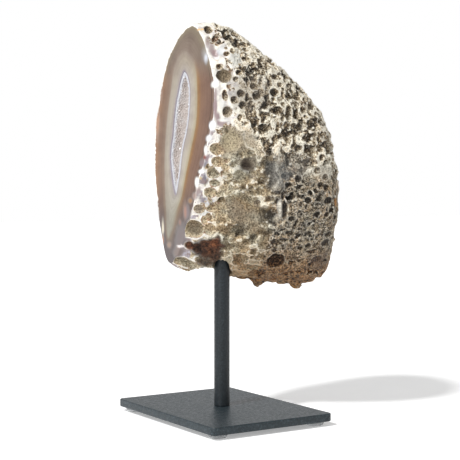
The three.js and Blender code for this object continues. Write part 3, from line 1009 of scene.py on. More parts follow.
STAINS_AND_PAINTED_LIGHT = [
    (208.5, 248.5, 13.5, 10.5, 0.3, 1.0, 122, 80, 54), (197.2, 248, 6, 8, 0.4, 0.95, 88, 56, 38),
    (214, 243, 5, 5, 0.6, 0.9, 158, 98, 62), (207, 251, 4, 3, 0.6, 0.8, 140, 88, 56),
    (203, 253, 5, 5, 0.5, 0.8, 88, 58, 40), (189.5, 245.6, 4.4, 4.4, 0.3, 0.95, 140, 84, 54),
    (218, 240, 3, 5, 0.4, 0.9, 132, 78, 50), (223, 246, 3.5, 2, 0.4, 0.8, 124, 72, 48),
    (206, 262, 10, 5, 0.5, 0.95, 104, 80, 58), (215, 257, 6, 6, 0.4, 0.95, 104, 70, 48),
    # The first: painted light in a pit that lies in shade; the second: painted shade where the pits shade the
    # middle of the coarse skin
    (224.5, 75.6, 7.5, 7.5, 0.35, 0.8, 196, 176, 142), (250, 92, 26, 22, 0.9, 0.5, 122, 106, 85),
    # The first: painted light in a pit
    (227, 112, 5, 5.5, 0.4, 0.5, 176, 158, 128), (218.6, 203, 1.4, 0.9, 0.5, 0.8, 160, 70, 50),
    (226, 162, 1.3, 0.8, 0.5, 0.8, 150, 70, 40), (194.5, 230, 7.5, 7.5, 0.6, 0.5, 196, 180, 144),
    (199.1, 209.3, 4.2, 4.4, 0.3, 0.7, 190, 172, 154), (230.7, 71, 2.4, 1.6, 0.6, 0.6, 176, 128, 92),
    (229, 86.4, 2.4, 2.4, 0.5, 0.5, 206, 170, 130), (335.6, 202, 1.8, 5, 0.6, 0.9, 222, 156, 74),
    (320, 262, 12, 10, 0.9, 0.5, 132, 98, 68), (300, 164, 20, 14, 0.9, 0.4, 186, 181, 168),
    (326, 172, 8, 9, 0.9, 0.4, 176, 168, 150), (277, 173, 13, 17, 0.8, 0.55, 150, 158, 160),
    # The second here and the two on the next line: pale chalcedony at a ledge, brightened by painted light
    # where it lies in shade
    (287.4, 262, 1.8, 1.8, 0.5, 0.8, 216, 204, 172), (279.4, 206, 2.6, 7, 0.5, 1.0, 255, 250, 236),
    (280.6, 213, 2, 6, 0.5, 1.0, 255, 250, 236), (277, 216, 3, 2.4, 0.6, 0.8, 246, 238, 220),
    # The first: a grey-green patch, darkened further as painted shade on a scoop's upper-left wall
    (232, 204, 9, 6, 0.8, 0.4, 118, 114, 96), (250, 222, 15, 14, 0.8, 0.5, 204, 187, 152),
    (231, 141, 12, 13, 0.5, 0.85, 222, 206, 170), (250, 140, 10, 9, 0.8, 0.45, 206, 186, 156),
    # The first: a dark pit, partly its brown and partly painted shadow
    (247.5, 165, 7.5, 6.8, 0.45, 0.9, 74, 58, 43), (227, 156, 6, 2.6, 0.6, 0.8, 250, 240, 214),
    (256, 160, 6, 5, 0.7, 0.5, 236, 222, 194), (244, 144, 8, 6, 0.8, 0.45, 224, 208, 180),
    (239, 160, 3, 5, 0.7, 0.5, 226, 212, 184), (253, 177, 5, 5, 0.8, 0.45, 232, 220, 194),
    (245, 190, 4, 1.4, 0.6, 0.75, 250, 240, 214), (265, 207, 3, 1.6, 0.6, 0.8, 250, 240, 214),
    (276, 220, 4, 2.6, 0.7, 0.7, 250, 240, 214), (275, 185, 5, 6, 0.8, 0.6, 240, 232, 214),
    (274, 171, 5, 6, 0.9, 0.4, 220, 214, 200), (262, 250, 3, 2, 0.7, 0.5, 240, 226, 196),
    (288, 226, 4, 2, 0.6, 0.6, 226, 216, 190), (236, 215, 8, 7, 0.6, 0.5, 140, 116, 86),
    (257, 203, 3.5, 3.5, 0.5, 0.6, 130, 104, 72), (268.5, 199, 3, 3, 0.5, 0.7, 130, 100, 64),
]


# Depth of the marks into the stone, and how ragged their edges are
MARK_REACH = 14.0
MARK_RAGGED = 0.35
# Azimuth and elevation of the main sun
SUN_WAY = (14, 48)
# Width of the pale zone behind the face's edge, by height
PALE_WIDTH = [
    (60, 4), (84, 5), (93, 3), (104, 2.6), (143, 2.6), (149, 8), (156, 11), (178, 11), (192, 10), (200, 8),
]
# A point well inside the face, as x and z
FACE_MIDDLE = (0.0, 140.0)
FARTHEST_LIP = 4.0
FARTHEST_EDGE = 9.0


def marks_at(points, marks):
    """Colour and share of the marks at each point of the surface."""
    colour = np.tile(linear(128, 128, 128), (len(points), 1))
    share = np.zeros(len(points))
    for px, py, half_width, half_height, softness, strength, *rgb in marks:
        middle = under_pixel(px, py)
        scale = pixel_size(middle)
        reach = MARK_REACH + scale * max(half_width, half_height)
        near = np.flatnonzero(length(points - middle) < 2.2 * reach)
        offset = points[near] - middle
        across = offset @ RIGHT / (half_width * scale)
        up = offset @ UPWARD / (half_height * scale)
        ragged = MARK_RAGGED * (value_noise(points[near], 2.2, 61) - 0.5)
        ball = np.sqrt(across ** 2 + up ** 2 + (offset @ FORWARD / reach) ** 2) + ragged
        here = strength * (1 - smoothstep(1 - softness, 1 + softness, ball))
        colour[near] += here[:, None] * (np.array(linear(*rgb)) - colour[near])
        share[near] += here * (1 - share[near])
    colour[:, 3] = share
    return colour


def face_loop(count=160):
    """The outline of the face where its plane meets the smooth skin, as x and z."""
    loop = []
    for turn in np.linspace(0, 2 * math.pi, count, endpoint=False):
        way = np.array([math.sin(turn), math.cos(turn)])
        out = FACE_MIDDLE + np.linspace(10, 90, 400)[:, None] * way
        inside = above_skin(on_face(out)) < 0
        loop.append(out[np.argmin(inside)])
    return np.array(loop)


def bands_at(points):
    """From 0 at the hollow's mouth by 1 at the cream band's edge to 2 at the face's edge."""
    flat = points[:, [0, 2]]
    loops = (HOLLOW_LOOP, CREAM_LOOP, face_loop())
    to_hollow, to_cream, to_edge = (distance_to(flat, loop) for loop in loops)
    within = to_hollow / (to_hollow + to_cream)
    beyond = 1 + to_cream / (to_cream + to_edge)
    band = np.where(inside_loop(flat, CREAM_LOOP), within, beyond)
    return np.where(inside_loop(flat, HOLLOW_LOOP), 0, band)


def mean_around(edges, values):
    """The mean of the values of each vertex's neighbours."""
    (a, b), size = edges.T, len(values)
    total = np.bincount(a, values[b], size) + np.bincount(b, values[a], size)
    count = np.bincount(a, minlength=size) + np.bincount(b, minlength=size)
    return total / np.maximum(count, 1)


def crests_of(mesh, vertices):
    """How far each vertex stands out of its neighbours, along its normal."""
    edges = edges_of(mesh)
    means = np.stack([mean_around(edges, vertices[:, k]) for k in range(3)], -1)
    crest = ((vertices - means) * normals_of(mesh)).sum(1)
    return 0.5 * crest + 0.5 * mean_around(edges, crest)


def lit_at(mesh, points):
    """How much more each vertex faces the sun than the smooth skin does there, for painted light and shade.
    """
    return (normals_of(mesh) - skin_normals(points)) @ unit(*SUN_WAY)


def lips_at(points, pits):
    """Distance from each point to the nearest pit's wall: nothing inside a pit, more on the skin between."""
    best = np.full(len(points), FARTHEST_LIP)
    order = np.argsort(points[:, 2])
    heights = points[order, 2]
    for pit in pits:
        centre, axes, ball, reach = pit_axes(*pit)
        reach += 2
        near = order[np.searchsorted(heights, centre[2] - reach):np.searchsorted(heights, centre[2] + reach)]
        away = np.abs(length((points[near] - centre) @ axes.T) - 1) * ball
        best[near] = np.minimum(best[near], away)
    return best


def skin_values(mesh, vertices, listed, seeded):
    """The values that the skin's material reads, by name."""
    drift = drift_at(vertices)
    by_listed = lips_at(vertices + LISTED_DRIFT * drift, listed)
    by_seeded = lips_at(vertices + drift, seeded)
    coarse, smooth, _ = regions(vertices)
    behind = vertices[:, 1] - FACE_Y
    return {
        "sunk": np.maximum(0, -above_skin(vertices)),
        "crest": crests_of(mesh, vertices),
        "lip": np.minimum(by_listed, by_seeded),
        "lit": lit_at(mesh, vertices),
        "coarse": coarse,
        "smooth": smooth,
        "behind_face": behind,
        "pale": behind / np.interp(vertices[:, 2], *np.array(PALE_WIDTH).T),
        "height": vertices[:, 2],
    }


def face_values(vertices, rim_edges):
    """The values that the face's material reads, by name."""
    on_plane = np.flatnonzero(np.abs(vertices[:, 1] - FACE_Y) < 0.001)
    band = np.ones(len(vertices))
    band[on_plane] = bands_at(vertices[on_plane])
    tree = tree_of(vertices[rim_edges].mean(1))
    edge = np.full(len(vertices), FARTHEST_EDGE)
    edge[on_plane] = [tree.find(v)[2] for v in vertices[on_plane]]
    edge[np.unique(rim_edges)] = 0
    middle = HOLLOW["mid_x"] + HOLLOW["lean"] * (vertices[:, 2] - HOLLOW["mid_z"])
    return {"band": band, "edge": edge, "right_side": smoothstep(-4, 4, vertices[:, 0] - middle)}


def agate_nodule():
    vertices, faces, kinds, rim_edges, listed, seeded = sawn_stone()
    piece = new_piece("agate_nodule_stone", in_frame(vertices), faces)
    mesh = piece.data
    mesh.polygons.foreach_set("material_index", kinds)
    mesh.polygons.foreach_set("use_smooth", kinds != 1)
    rim_names = set(map(tuple, np.sort(rim_edges)))
    sharp = [tuple(sorted(edge)) in rim_names for edge in edges_of(mesh).tolist()]
    mesh.attributes.new("sharp_edge", "BOOLEAN", "EDGE").data.foreach_set("value", sharp)
    values = skin_values(mesh, vertices, listed, seeded) | face_values(vertices, rim_edges)
    for name, value in values.items():
        put_values(mesh, name, value)
    # The veins with a painted glare on the face, and the stains with painted light and shade in places
    for name, marks in (("vein_and_painted_glare", VEINS_AND_PAINTED_GLARE), ("stain_and_painted_light", STAINS_AND_PAINTED_LIGHT)):
        put_colours(mesh, name, marks_at(vertices, marks))
    for material in (crust_material(), face_material(), hollow_material()):
        mesh.materials.append(material)
    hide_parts("agate_nodule")
    return piece


# Materials of the stone

# Tones of the three kinds of skin, from raised places and walls painted as lit to the bottoms of pits, whose
# darkness is partly their brown and partly painted shade
COARSE_TONES = [
    (0.0, 255, 246, 226), (0.12, 246, 233, 206), (0.22, 210, 192, 160), (0.34, 168, 149, 120),
    (0.52, 126, 108, 84), (0.72, 82, 69, 53), (1.0, 40, 33, 26),
]
SMOOTH_TONES = [
    (0.0, 232, 219, 192), (0.1, 202, 186, 156), (0.22, 180, 164, 134), (0.45, 150, 134, 107),
    (0.8, 84, 73, 56),
]
FINE_TONES = [
    (0.0, 196, 176, 146), (0.06, 112, 97, 75), (0.13, 80, 67, 51), (0.24, 64, 52, 38), (0.4, 51, 41, 30),
    (0.7, 38, 30, 23),
]
PATCH_TINTS = [(0.38, 232, 242, 252), (0.5, 250, 250, 248), (0.62, 255, 243, 230)]
# Dark and bright specks of grain, the dark ones partly painted fine shade
GRAIN_AND_PAINTED_SHADE = [(0.38, 52, 44, 36), (0.45, 156, 146, 133), (0.5, 240, 236, 230), (0.53, 255, 255, 255)]
MILK = [(0.36, 194, 187, 185), (0.45, 224, 218, 210), (0.56, 241, 236, 223)]
BARE = [(0.4, 138, 120, 118), (0.5, 150, 138, 140), (0.62, 182, 178, 188)]
MOTTLES = [(0.36, 84, 74, 68), (0.5, 190, 184, 178), (0.62, 255, 255, 255)]

# Tones of the face's bands, from 0 at the hollow by 0.5 at the cream band's edge to 1 at the face's edge
LEFT_BANDS = [
    (0.0, 138, 131, 140), (0.03, 154, 147, 148), (0.06, 158, 151, 145), (0.25, 163, 156, 143),
    (0.42, 156, 147, 135), (0.5, 132, 113, 97), (0.62, 124, 101, 85), (0.8, 129, 101, 80),
    (0.92, 145, 111, 84), (1.0, 138, 112, 92),
]
RIGHT_BANDS = [
    (0.0, 140, 130, 139), (0.03, 156, 148, 150), (0.06, 168, 163, 156), (0.25, 173, 166, 153),
    (0.42, 165, 156, 132), (0.48, 148, 119, 80), (0.53, 137, 101, 62), (0.6, 122, 92, 71),
    (0.75, 117, 89, 73), (0.86, 112, 85, 70), (0.89, 87, 65, 52), (0.92, 116, 92, 77), (1.0, 125, 102, 91),
]
TOP_BANDS = [
    (0.0, 128, 120, 128), (0.06, 155, 147, 138), (0.3, 159, 150, 135), (0.46, 147, 136, 123),
    (0.56, 124, 109, 97), (0.8, 116, 102, 89), (0.92, 130, 119, 99), (1.0, 141, 133, 110),
]
BOTTOM_BANDS = [
    (0.0, 140, 138, 134), (0.3, 148, 147, 137), (0.46, 138, 136, 122), (0.56, 114, 98, 82), (0.7, 88, 75, 71),
    (0.85, 82, 72, 73), (1.0, 84, 75, 76),
]
FINE_LINES = [(0.3, 205, 196, 190), (0.5, 236, 232, 228), (0.7, 255, 255, 255)]
CLOUDS = [(0.35, 214, 204, 204), (0.55, 250, 248, 246)]


class SkinNodes(Nodes):
    """The nodes of the natural skin, with the values and noises that its parts share."""

    def __init__(self):
        super().__init__(bpy.data.materials.new("pitted_skin"))
        for name in ("sunk", "crest", "lip", "lit", "height", "behind_face", "coarse", "smooth", "pale"):
            setattr(self, name, self.attribute(name))
        self.spot = self.place()
        self.grit = self.noise(self.spot, 0.9, 3, 0.85)
        # Specks of grain with painted fine shade
        self.grain_and_painted_shade = self.ramp(self.grit, GRAIN_AND_PAINTED_SHADE)
        self.streaks = self.noise(self.warped(self.spot, 3, 2), 2.2, 4, 0.7)
        self.uneven = self.noise(self.spot, 1.7, 4, 0.65) - 0.5
        self.holes = self.cells(self.warped(self.spot, 1.6, 0.9), 1.7)
        self.specks = self.cells(self.warped(self.spot, 0.8, 0.4), 0.85)
        # One between the pits, nothing inside them
        self.outer = self.range(self.lip, 0.1, 0.34)


def skin_depth(n):
    """Where the skin is in its tones: 0 on raised places and walls painted as lit, 1 at the bottoms of pits.
    Pits, creases and pores go darker, partly for their brown and partly as painted shade.
    """
    at_rim = n.smooth * n.range(n.behind_face, 14, 9)
    patches = n.noise(n.spot, 6, 3, 0.6) - 0.5
    # Darker the deeper below the skin: partly the pits' brown, partly painted shade
    depth = n.sunk * n.between(at_rim, 1, 0.6) * n.between(n.coarse, 1, 0.72)
    depth += n.uneven * n.between(n.smooth, 3.0, 1.4)
    depth += patches * n.between(n.smooth, 3.4, 1.2)
    # Painted light and shade: walls that face the sun more than the skin does are made lighter, the others
    # darker
    depth -= n.lit * n.between(n.coarse, 0.9, 3.2)
    # Lighter on crests, darker in creases: the crests' pale colour and painted shade in the creases
    depth -= n.crest * 4.0
    depth -= n.range(n.height, 168, 186, 0, 0.6)
    # Darker inside the pits than between them: partly their brown, partly painted shade
    in_pits = n.between(n.coarse, 0.5, 0.6) - at_rim * 0.3
    outside = n.between(n.coarse, 0.0, -1.3) + n.smooth * 0.1
    depth += n.between(n.outer, in_pits, outside)
    # Small painted pores, darker inside the cells than at their walls: painted shade with some of their brown
    depth += n.range(n.holes, 0.03, 0.2) * n.between(n.coarse, 0.9, 1.4)
    depth += n.range(n.specks, 0.05, 0.3) * n.between(n.smooth, 1.7, 0.5)
    return n.math("DIVIDE", depth - 0.6, 5.0, clamp=True)


def pitted_colour(n, depth):
    """The skin's tones with its dark specks of grain and painted shade, its bright grains and its crisp white
    crests.
    """
    finer = n.mix(n.smooth, n.ramp(depth, FINE_TONES), n.ramp(depth, SMOOTH_TONES))
    colour = n.mix(n.coarse, finer, n.ramp(depth, COARSE_TONES))
    tint = n.ramp(n.noise(n.spot, 9, 3, 0.6), PATCH_TINTS)
    colour = n.mix(n.between(n.coarse, 1, 0.4), colour, tint, "MULTIPLY")
    # The dark specks of grain with painted shade, stronger inside the pits than between them
    colour = n.mix(n.between(n.smooth, 0.9, 0.78) - n.outer * 0.2, colour, n.grain_and_painted_shade, "MULTIPLY")
    bright = n.range(n.grit, 0.54, 0.59) * n.range(n.streaks, 0.46, 0.56) * n.between(n.outer, 0.3, 1)
    colour = n.mix(bright * n.between(n.smooth, 0.8, 0.7), colour, (255, 246, 226))
    crisp = n.outer * n.range(n.lip, 1.0, 0.5) * n.range(n.streaks, 0.38, 0.5)
    broken = n.math("MAXIMUM", n.coarse, n.smooth * 0.8)
    colour = n.mix(crisp * n.between(broken, 0.2, 0.9), colour, (255, 248, 230))
    white = n.range(n.crest, 0.04, 0.12) * n.range(n.noise(n.spot, 2.6, 3), 0.4, 0.58)
    return n.mix(white * 0.9, colour, (255, 250, 236))


def with_edge(n, colour, rim):
    """The colour with the pits' pale and amber rims beside the face, its milky edge, and the veins with their
    painted glare.
    """
    beside = n.range(n.behind_face, 10, 7)
    colour = n.mix(n.outer * n.range(n.lip, 1.5, 0.9) * beside, colour, (250, 245, 235))
    amber = n.range(n.lip, 0.04, 0.14) * n.range(n.lip, 0.34, 0.22) * beside * n.range(n.streaks, 0.44, 0.52)
    colour = n.mix(amber * 0.7, colour, (150, 100, 62))
    milk = n.noise(n.spot, 3.4, 4, 0.6)
    bare = n.range(milk + n.range(n.height, 106, 92, 0, 0.2), 0.5, 0.56)
    bare = bare * n.range(n.lip, 0.45, 0.9) * n.range(n.height, 154, 142)
    pale = n.mix(bare, n.ramp(milk, MILK), n.ramp(n.streaks, BARE))
    colour = n.mix(rim, colour, pale)
    # The veins, with their painted glare
    return n.mix(n.attribute("vein_and_painted_glare", "Alpha") * n.outer, colour, n.attribute("vein_and_painted_glare", "Color"))


def with_stains(n, colour):
    """The colour with the brown glow at the stone's foot and the stains, among which are painted light and
    shade in some pits and on some walls.
    """
    low = n.range(n.height, 94, 69) * n.range(n.behind_face, 10, 30) * n.range(n.streaks, 0.3, 0.56, 0.45, 1)
    colour = n.mix(low, colour, (198, 176, 148), "MULTIPLY")
    colour = n.mix(low * n.range(n.grit, 0.5, 0.56) * 0.65, colour, (196, 134, 74))
    # The marks take the grain's dark specks and painted shade
    stain_and_painted_light = n.mix(0.6, n.attribute("stain_and_painted_light", "Color"), n.grain_and_painted_shade, "MULTIPLY")
    mottle = n.ramp(n.noise(n.spot, 1.9, 4, 0.7), MOTTLES)
    stain_and_painted_light = n.mix(n.range(n.height, 106, 96, 0.35, 1), stain_and_painted_light, mottle, "MULTIPLY")
    share = n.attribute("stain_and_painted_light", "Alpha")
    ragged = n.range(share + n.noise(n.spot, 2.4, 4, 0.7) * 0.8, 0.6, 0.74)
    return n.mix(share * ragged, colour, stain_and_painted_light)


def crust_material():
    n = SkinNodes()
    rim = n.range(n.pale - n.noise(n.spot, 4, 3) * 0.9, 0.65, 0.5) * n.outer
    colour = with_stains(n, with_edge(n, pitted_colour(n, skin_depth(n)), rim))
    relief = n.range(rim, 0, 1, 0.75, 0.1)
    rough = n.bump(n.range(n.holes, 0.0, 0.3, 1, 0), 0.45, relief)
    rough = n.bump(n.range(n.specks, 0.0, 0.3, 1, 0), 0.25, relief, Normal=rough)
    rough = n.bump(n.grit, 0.5, relief, Normal=rough)
    rough = n.bump(n.uneven, 0.8, relief, Normal=rough)
    return n.finish(Base_Color=colour, Roughness=n.between(rim, 0.85, 0.4), Normal=rough)


def face_material():
    n = material_nodes("polished_agate")
    place = n.place()
    height, right_side = n.attribute("height"), n.attribute("right_side")
    band = n.attribute("band") + (n.noise(place, 14, 3) - 0.5) * 0.10
    half = n.math("MULTIPLY", band, 0.5, clamp=True)
    colour = n.mix(right_side, n.ramp(half, LEFT_BANDS), n.ramp(half, RIGHT_BANDS))
    colour = n.mix(n.range(height, 168, 184), colour, n.ramp(half, TOP_BANDS))
    colour = n.mix(n.range(height, 126, 94), colour, n.ramp(half, BOTTOM_BANDS))
    along_bands = n.add("CombineXYZ", X=band * 26.0, Y=height * 0.012, Z=right_side)
    colour = n.mix(0.55, colour, n.ramp(n.noise(along_bands, 1.0, 3, 0.6), FINE_LINES), "MULTIPLY")
    colour = n.mix(0.5, colour, n.ramp(n.noise(place, 9, 4, 0.6), CLOUDS), "MULTIPLY")
    edge = n.attribute("edge") - n.noise(place, 3, 2) * 1.6
    colour = n.mix(n.range(edge, 0.4, -0.1) * n.range(height, 98, 116), colour, (236, 232, 226))
    # The veins, and the painted glare of a reflection on the polished face
    colour = n.mix(n.attribute("vein_and_painted_glare", "Alpha"), colour, n.attribute("vein_and_painted_glare", "Color"))
    roughness = n.range(n.noise(place, 4, 3), 0.3, 0.7, 0.1, 0.2, False)
    return n.finish(Base_Color=colour, Roughness=roughness, Normal=n.bump(n.noise(place, 2.4, 2), 0.02, 0.3))


def hollow_material():
    n = material_nodes("hollow_wall")
    grain = n.noise(n.place(), 0.6, 4)
    colour = n.ramp(grain, [(0.3, 134, 124, 134), (0.7, 160, 152, 162)])
    roughness = n.range(grain, 0.3, 0.7, 0.3, 0.55, False)
    return n.finish(Base_Color=colour, Roughness=roughness, Normal=n.bump(grain, 0.2))


# The crust of crystals in the hollow

# Spacing, radii, lean and distance from the hollow's edge of the crystals
CRYSTALS = {"spacing": 0.7, "least": 0.3, "most": 0.6, "lean": 0.22, "lip": 1.0}
SHEET_INSET = 0.3
SHEET_SPACING = 0.7


def sheet_depth(points):
    """How far behind the face the crust lies."""
    away = distance_to(points, HOLLOW_LOOP)
    return 0.25 + 2.5 * smoothstep(0.9, 4.6, away)


def crystal(centre, axis, radius, tall, turn, faces, vertices):
    """A six-sided crystal with a point, closed at its foot."""
    axis = axis / np.linalg.norm(axis)
    side = np.cross(axis, (0.31, 0.2, 0.93))
    side /= np.linalg.norm(side)
    other = np.cross(axis, side)
    first = len(vertices)
    for height, wide in ((-0.7 * tall, 1.0), (0.35 * tall, 0.94)):
        for k in range(6):
            angle = turn + k * math.pi / 3
            out = math.cos(angle) * side + math.sin(angle) * other
            vertices.append(centre + axis * height + radius * wide * out)
    vertices.append(centre + axis * tall)
    for k in range(6):
        after = (k + 1) % 6
        faces.append([first + k, first + after, first + 6 + after, first + 6 + k])
        faces.append([first + 6 + k, first + 6 + after, first + 12])
    faces.append([first + k for k in reversed(range(6))])


def crystal_sheet(outline):
    """Vertices and faces of the closed sheet that the crystals stand on."""
    grid = hex_points(outline.min(0), outline.max(0), SHEET_SPACING)
    grid = grid[inside_loop(grid, outline)]
    grid = grid[distance_to(grid, outline) > 0.4]
    points = np.concatenate([outline, grid])
    triangles = triangles_in_loop(points, len(outline))
    away = distance_to(points, HOLLOW_LOOP)
    uneven = 0.25 * (value_noise(on_face(points), 1.6, 91) - 0.5)
    front = sheet_depth(points) + uneven * smoothstep(0.8, 2, away)
    thick = 0.3 + 0.5 * smoothstep(0.3, 2.5, away)
    vertices = np.concatenate([on_face(points, front), on_face(points, front + thick)])
    back = len(points)
    faces = facing(vertices, triangles, -1) + facing(vertices, triangles + back, 1)
    faces += [[a, b, back + b, back + a] for a, b in ring_edges(np.arange(len(outline)))]
    return list(vertices), faces


def grow_crystals(outline, vertices, faces):
    """Crystals in rows with some disorder, added to the sheet's vertices and faces."""
    rng = np.random.default_rng(8)
    seeds = hex_points(outline.min(0), outline.max(0), CRYSTALS["spacing"])
    seeds = seeds + rng.uniform(-0.3, 0.3, seeds.shape)
    seeds = seeds[inside_loop(seeds, outline)]
    lip = CRYSTALS["lip"] + 0.5 * (value_noise(on_face(seeds), 2.5, 93) - 0.5)
    seeds = seeds[distance_to(seeds, HOLLOW_LOOP) > lip]
    for seed, depth in zip(seeds, sheet_depth(seeds)):
        radius = rng.uniform(CRYSTALS["least"], CRYSTALS["most"])
        tall = min(radius * rng.uniform(0.5, 1.0), depth - 0.05)
        axis = np.array([0, -1.0, 0]) + CRYSTALS["lean"] * rng.normal(size=3) * (1, 0.3, 1)
        centre = np.array([seed[0], FACE_Y + depth, seed[1]])
        crystal(centre, axis, radius, tall, rng.uniform(0, math.pi / 3), faces, vertices)


def quartz_crust():
    outline = inset(HOLLOW_LOOP, SHEET_INSET)
    vertices, faces = crystal_sheet(outline)
    smooth_count = len(faces)
    grow_crystals(outline, vertices, faces)
    vertices = np.array(vertices)
    piece = new_piece("quartz_crust_crystals", in_frame(vertices), faces, smooth=False)
    flags = np.arange(len(piece.data.polygons)) < smooth_count
    piece.data.polygons.foreach_set("use_smooth", flags)
    put_values(piece.data, "from_rim", distance_to(vertices[:, [0, 2]], HOLLOW_LOOP))
    piece.data.materials.append(quartz_material())
    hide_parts("quartz_crust")
    return piece


def quartz_material():
    n = material_nodes("druzy_quartz")
    place = n.place()
    speck = n.noise(place, 0.8, 2)
    patch = n.noise(place, 5, 3)
    colour = n.ramp(patch, [(0.35, 170, 159, 153), (0.5, 178, 169, 164), (0.65, 185, 179, 176)])
    colour = n.mix(0.25, colour, n.ramp(speck, [(0.35, 220, 214, 212), (0.6, 255, 255, 255)]), "MULTIPLY")
    colour = n.mix(n.range(n.attribute("from_rim"), 2.7, 1.5), colour, (186, 187, 192))
    return n.finish(Base_Color=colour, Roughness=n.range(speck, 0.3, 0.7, 0.12, 0.35, False))


# The stand

ROD_BEVEL = 0.35 * MM
PLATE_CORNER = 2.5 * MM
PLATE_BEVEL = 0.5 * MM


def quarter_round(size):
    """Points of a bevel: the distance in from the side, and up from the edge."""
    return [(size * (1 - math.sin(a)), size * (1 - math.cos(a))) for a in np.linspace(0, math.pi / 2, 5)]


def ring_quads(first, count, steps):
    """Quads between rings of vertices that follow each other."""
    quads = []
    for low in range(first, first + steps * count, count):
        for k in range(count):
            after = (k + 1) % count
            quads.append([low + k, low + after, low + count + after, low + count + k])
    return quads


def turned(name, profile, segments, centre):
    """A solid turned round the Z axis: the profile runs from its lowest to its highest point, in metres."""
    vertices = [(0, 0, profile[0][1])]
    for radius, z in profile:
        for k in range(segments):
            angle = 2 * math.pi * k / segments
            vertices.append((radius * math.cos(angle), radius * math.sin(angle), z))
    vertices.append((0, 0, profile[-1][1]))
    last = len(vertices) - 1
    top = last - segments
    faces = ring_quads(1, segments, len(profile) - 1)
    for k in range(segments):
        after = (k + 1) % segments
        faces += [[0, 1 + after, 1 + k], [top + k, top + after, last]]
    return new_piece(name, np.array(vertices) + centre, faces)


def support_rod():
    radius = (ROD_HIGH.x - ROD_LOW.x) / 2
    low, high = ROD_LOW.z, ROD_HIGH.z
    corner = quarter_round(ROD_BEVEL)
    profile = [(radius - inward, low + up) for inward, up in corner]
    profile += [(radius, z) for z in np.linspace(low + 3 * ROD_BEVEL, high - 3 * ROD_BEVEL, 20)]
    profile += [(radius - inward, high - up) for inward, up in reversed(corner)]
    piece = turned("support_rod_steel", profile, 96, (AXIS[0], AXIS[1], 0))
    piece.data.materials.append(powder_coat("rod_powder_coat", (22, 27, 30), (32, 38, 42), (52, 61, 66)))
    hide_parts("support_rod")
    return piece


def plate_ring(low, high, inward, z):
    """The plate's outline with its rounded corners, moved inward, at one height."""
    centre = (low + high) / 2
    half_x, half_y = (high.x - low.x) / 2, (high.y - low.y) / 2
    reach = PLATE_CORNER - inward
    ring = []
    for sx, sy, start in ((1, 1, 0), (-1, 1, 90), (-1, -1, 180), (1, -1, 270)):
        for angle in np.radians(np.linspace(start, start + 90, 9)):
            x = centre.x + sx * (half_x - PLATE_CORNER) + reach * math.cos(angle)
            y = centre.y + sy * (half_y - PLATE_CORNER) + reach * math.sin(angle)
            ring.append((x, y, z))
    return ring


def base_plate():
    low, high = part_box("base_plate")
    corner = quarter_round(PLATE_BEVEL)
    levels = [(inward, low.z + up) for inward, up in corner]
    levels += [(inward, high.z - up) for inward, up in reversed(corner)]
    rings = [plate_ring(low, high, inward, z) for inward, z in levels]
    count = len(rings[0])
    faces = ring_quads(0, count, len(rings) - 1)
    faces.append(list(reversed(range(count))))
    faces.append([(len(rings) - 1) * count + k for k in range(count)])
    piece = new_piece("base_plate_steel", sum(rings, []), faces)
    piece.data.polygons.foreach_set("use_smooth", [True] * (len(faces) - 2) + [False] * 2)
    piece.data.materials.append(powder_coat("plate_powder_coat", (26, 33, 37), (42, 52, 57), (74, 86, 92)))
    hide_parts("base_plate")
    return piece


def powder_coat(name, dark, middle, light):
    n = material_nodes(name)
    place = n.place()
    fleck = n.noise(place, 0.8, 3, 0.7)
    dust = n.ramp(n.noise(place, 7, 4, 0.6), [(0.35, 225, 225, 225), (0.65, 255, 255, 255)])
    colour = n.ramp(fleck, [(0.3, *dark), (0.55, *middle), (0.75, *light)])
    colour = n.mix(0.5, colour, dust, "MULTIPLY")
    roughness = n.range(n.noise(place, 1.5, 3, 0.7), 0.36, 0.62, 0.3, 0.44)
    grain = n.bump(fleck, 0.14, 0.9)
    return n.finish(Base_Color=colour, Roughness=roughness, Normal=grain, Specular_IOR_Level=0.3)


def feet():
    for name in sorted(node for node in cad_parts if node.startswith("bumper_foot")):
        low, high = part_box(name)
        radius, tall = (high.x - low.x) / 2, high.z - low.z
        contact = 0.55 * radius
        profile = [(0.6 * contact, low.z), (contact, low.z)]
        for angle in np.radians(np.linspace(15, 90, 9)):
            reach = contact + (radius - contact) * math.sin(angle)
            profile.append((reach, low.z + 0.6 * tall * (1 - math.cos(angle))))
        profile += [(radius, high.z - 0.12 * tall), (0.985 * radius, high.z)]
        middle = (low + high) / 2
        piece = turned(name + "_dome", profile, 64, (middle.x, middle.y, 0))
        piece.data.materials.append(clear_rubber())
        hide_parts(name)
        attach(piece, "root")


def clear_rubber():
    n = material_nodes("clear_bumper")
    haze = n.noise(n.place(), 1.5, 3)
    colour = n.ramp(haze, [(0.3, 228, 232, 234), (0.7, 246, 248, 249)])
    roughness = n.range(haze, 0.3, 0.7, 0.1, 0.2, False)
    return n.finish(Base_Color=colour, Roughness=roughness, Transmission_Weight=0.72, IOR=1.48)


# Camera, floor and light

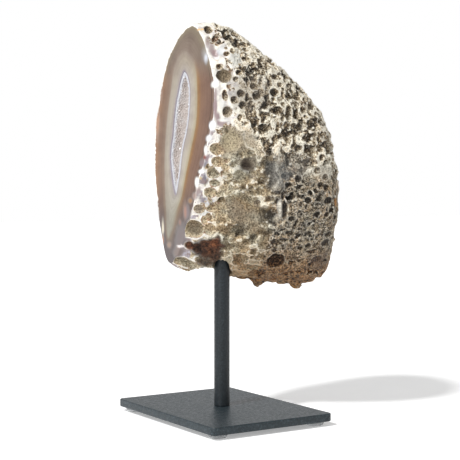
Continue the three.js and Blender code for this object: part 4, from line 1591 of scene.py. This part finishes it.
def camera():
    data = bpy.data.cameras.new("camera")
    piece = bpy.data.objects.new("camera", data)
    bpy.context.collection.objects.link(piece)
    data.sensor_width = SENSOR_MM
    data.lens = FOCAL_PX / PHOTO_WIDTH * SENSOR_MM
    data.shift_x = (MIDDLE_PX - AXIS_PX) / PHOTO_WIDTH
    piece.location = EYE * MM + AXIS
    piece.rotation_euler = Vector(FORWARD).to_track_quat("-Z", "Y").to_euler()
    bpy.context.scene.camera = piece


WORLD_LIGHT = 0.34
# How much shiny surfaces see of the world's light beyond that, where 1 is all that the camera sees
SHINY_SHARE = 0.6
FLOOR_HALF = 4


def sun(name, way, spread, strength):
    """A sun from an azimuth and elevation, as wide as the spread, all in degrees."""
    data = bpy.data.lights.new(name, "SUN")
    data.angle = math.radians(spread)
    data.energy = strength
    piece = bpy.data.objects.new(name, data)
    bpy.context.collection.objects.link(piece)
    piece.rotation_euler = Vector(unit(*way)).to_track_quat("Z", "Y").to_euler()


def pale_floor():
    corners = [(FLOOR_HALF * x, FLOOR_HALF * y, 0) for x, y in ((-1, -1), (1, -1), (1, 1), (-1, 1))]
    floor = new_piece("floor", corners, [[0, 1, 2, 3]], smooth=False)
    n = material_nodes("pale_floor")
    pale = n.ramp(n.noise(n.place(), 60, 2), [(0.3, 246, 246, 246), (0.7, 249, 249, 249)])
    material = n.finish(Base_Color=pale, Roughness=0.9, Emission_Color=pale, Emission_Strength=0.35)
    floor.data.materials.append(material)
    return floor


def studio():
    """White round the scene to the camera, and a dimmer light from all sides on its surfaces."""
    floor = pale_floor()
    world = bpy.data.worlds.new("studio")
    n = Nodes(world)
    shiny = n.add("LightPath", "Is Glossy Ray") * SHINY_SHARE
    seen = n.math("MAXIMUM", n.add("LightPath", "Is Camera Ray"), shiny)
    light = n.add("Background", Color=(1, 1, 1, 1), Strength=n.between(seen, WORLD_LIGHT, 1.0))
    n.node("OutputWorld", Surface=light)
    bpy.context.scene.world = world
    bpy.context.scene.view_settings.view_transform = "Standard"
    sun("key", SUN_WAY, 7, 2.9)
    sun("side", (22, 14), 25, 0.65)


camera()
studio()
for made in (agate_nodule(), quartz_crust(), support_rod(), base_plate()):
    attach(made, "root")
feet()
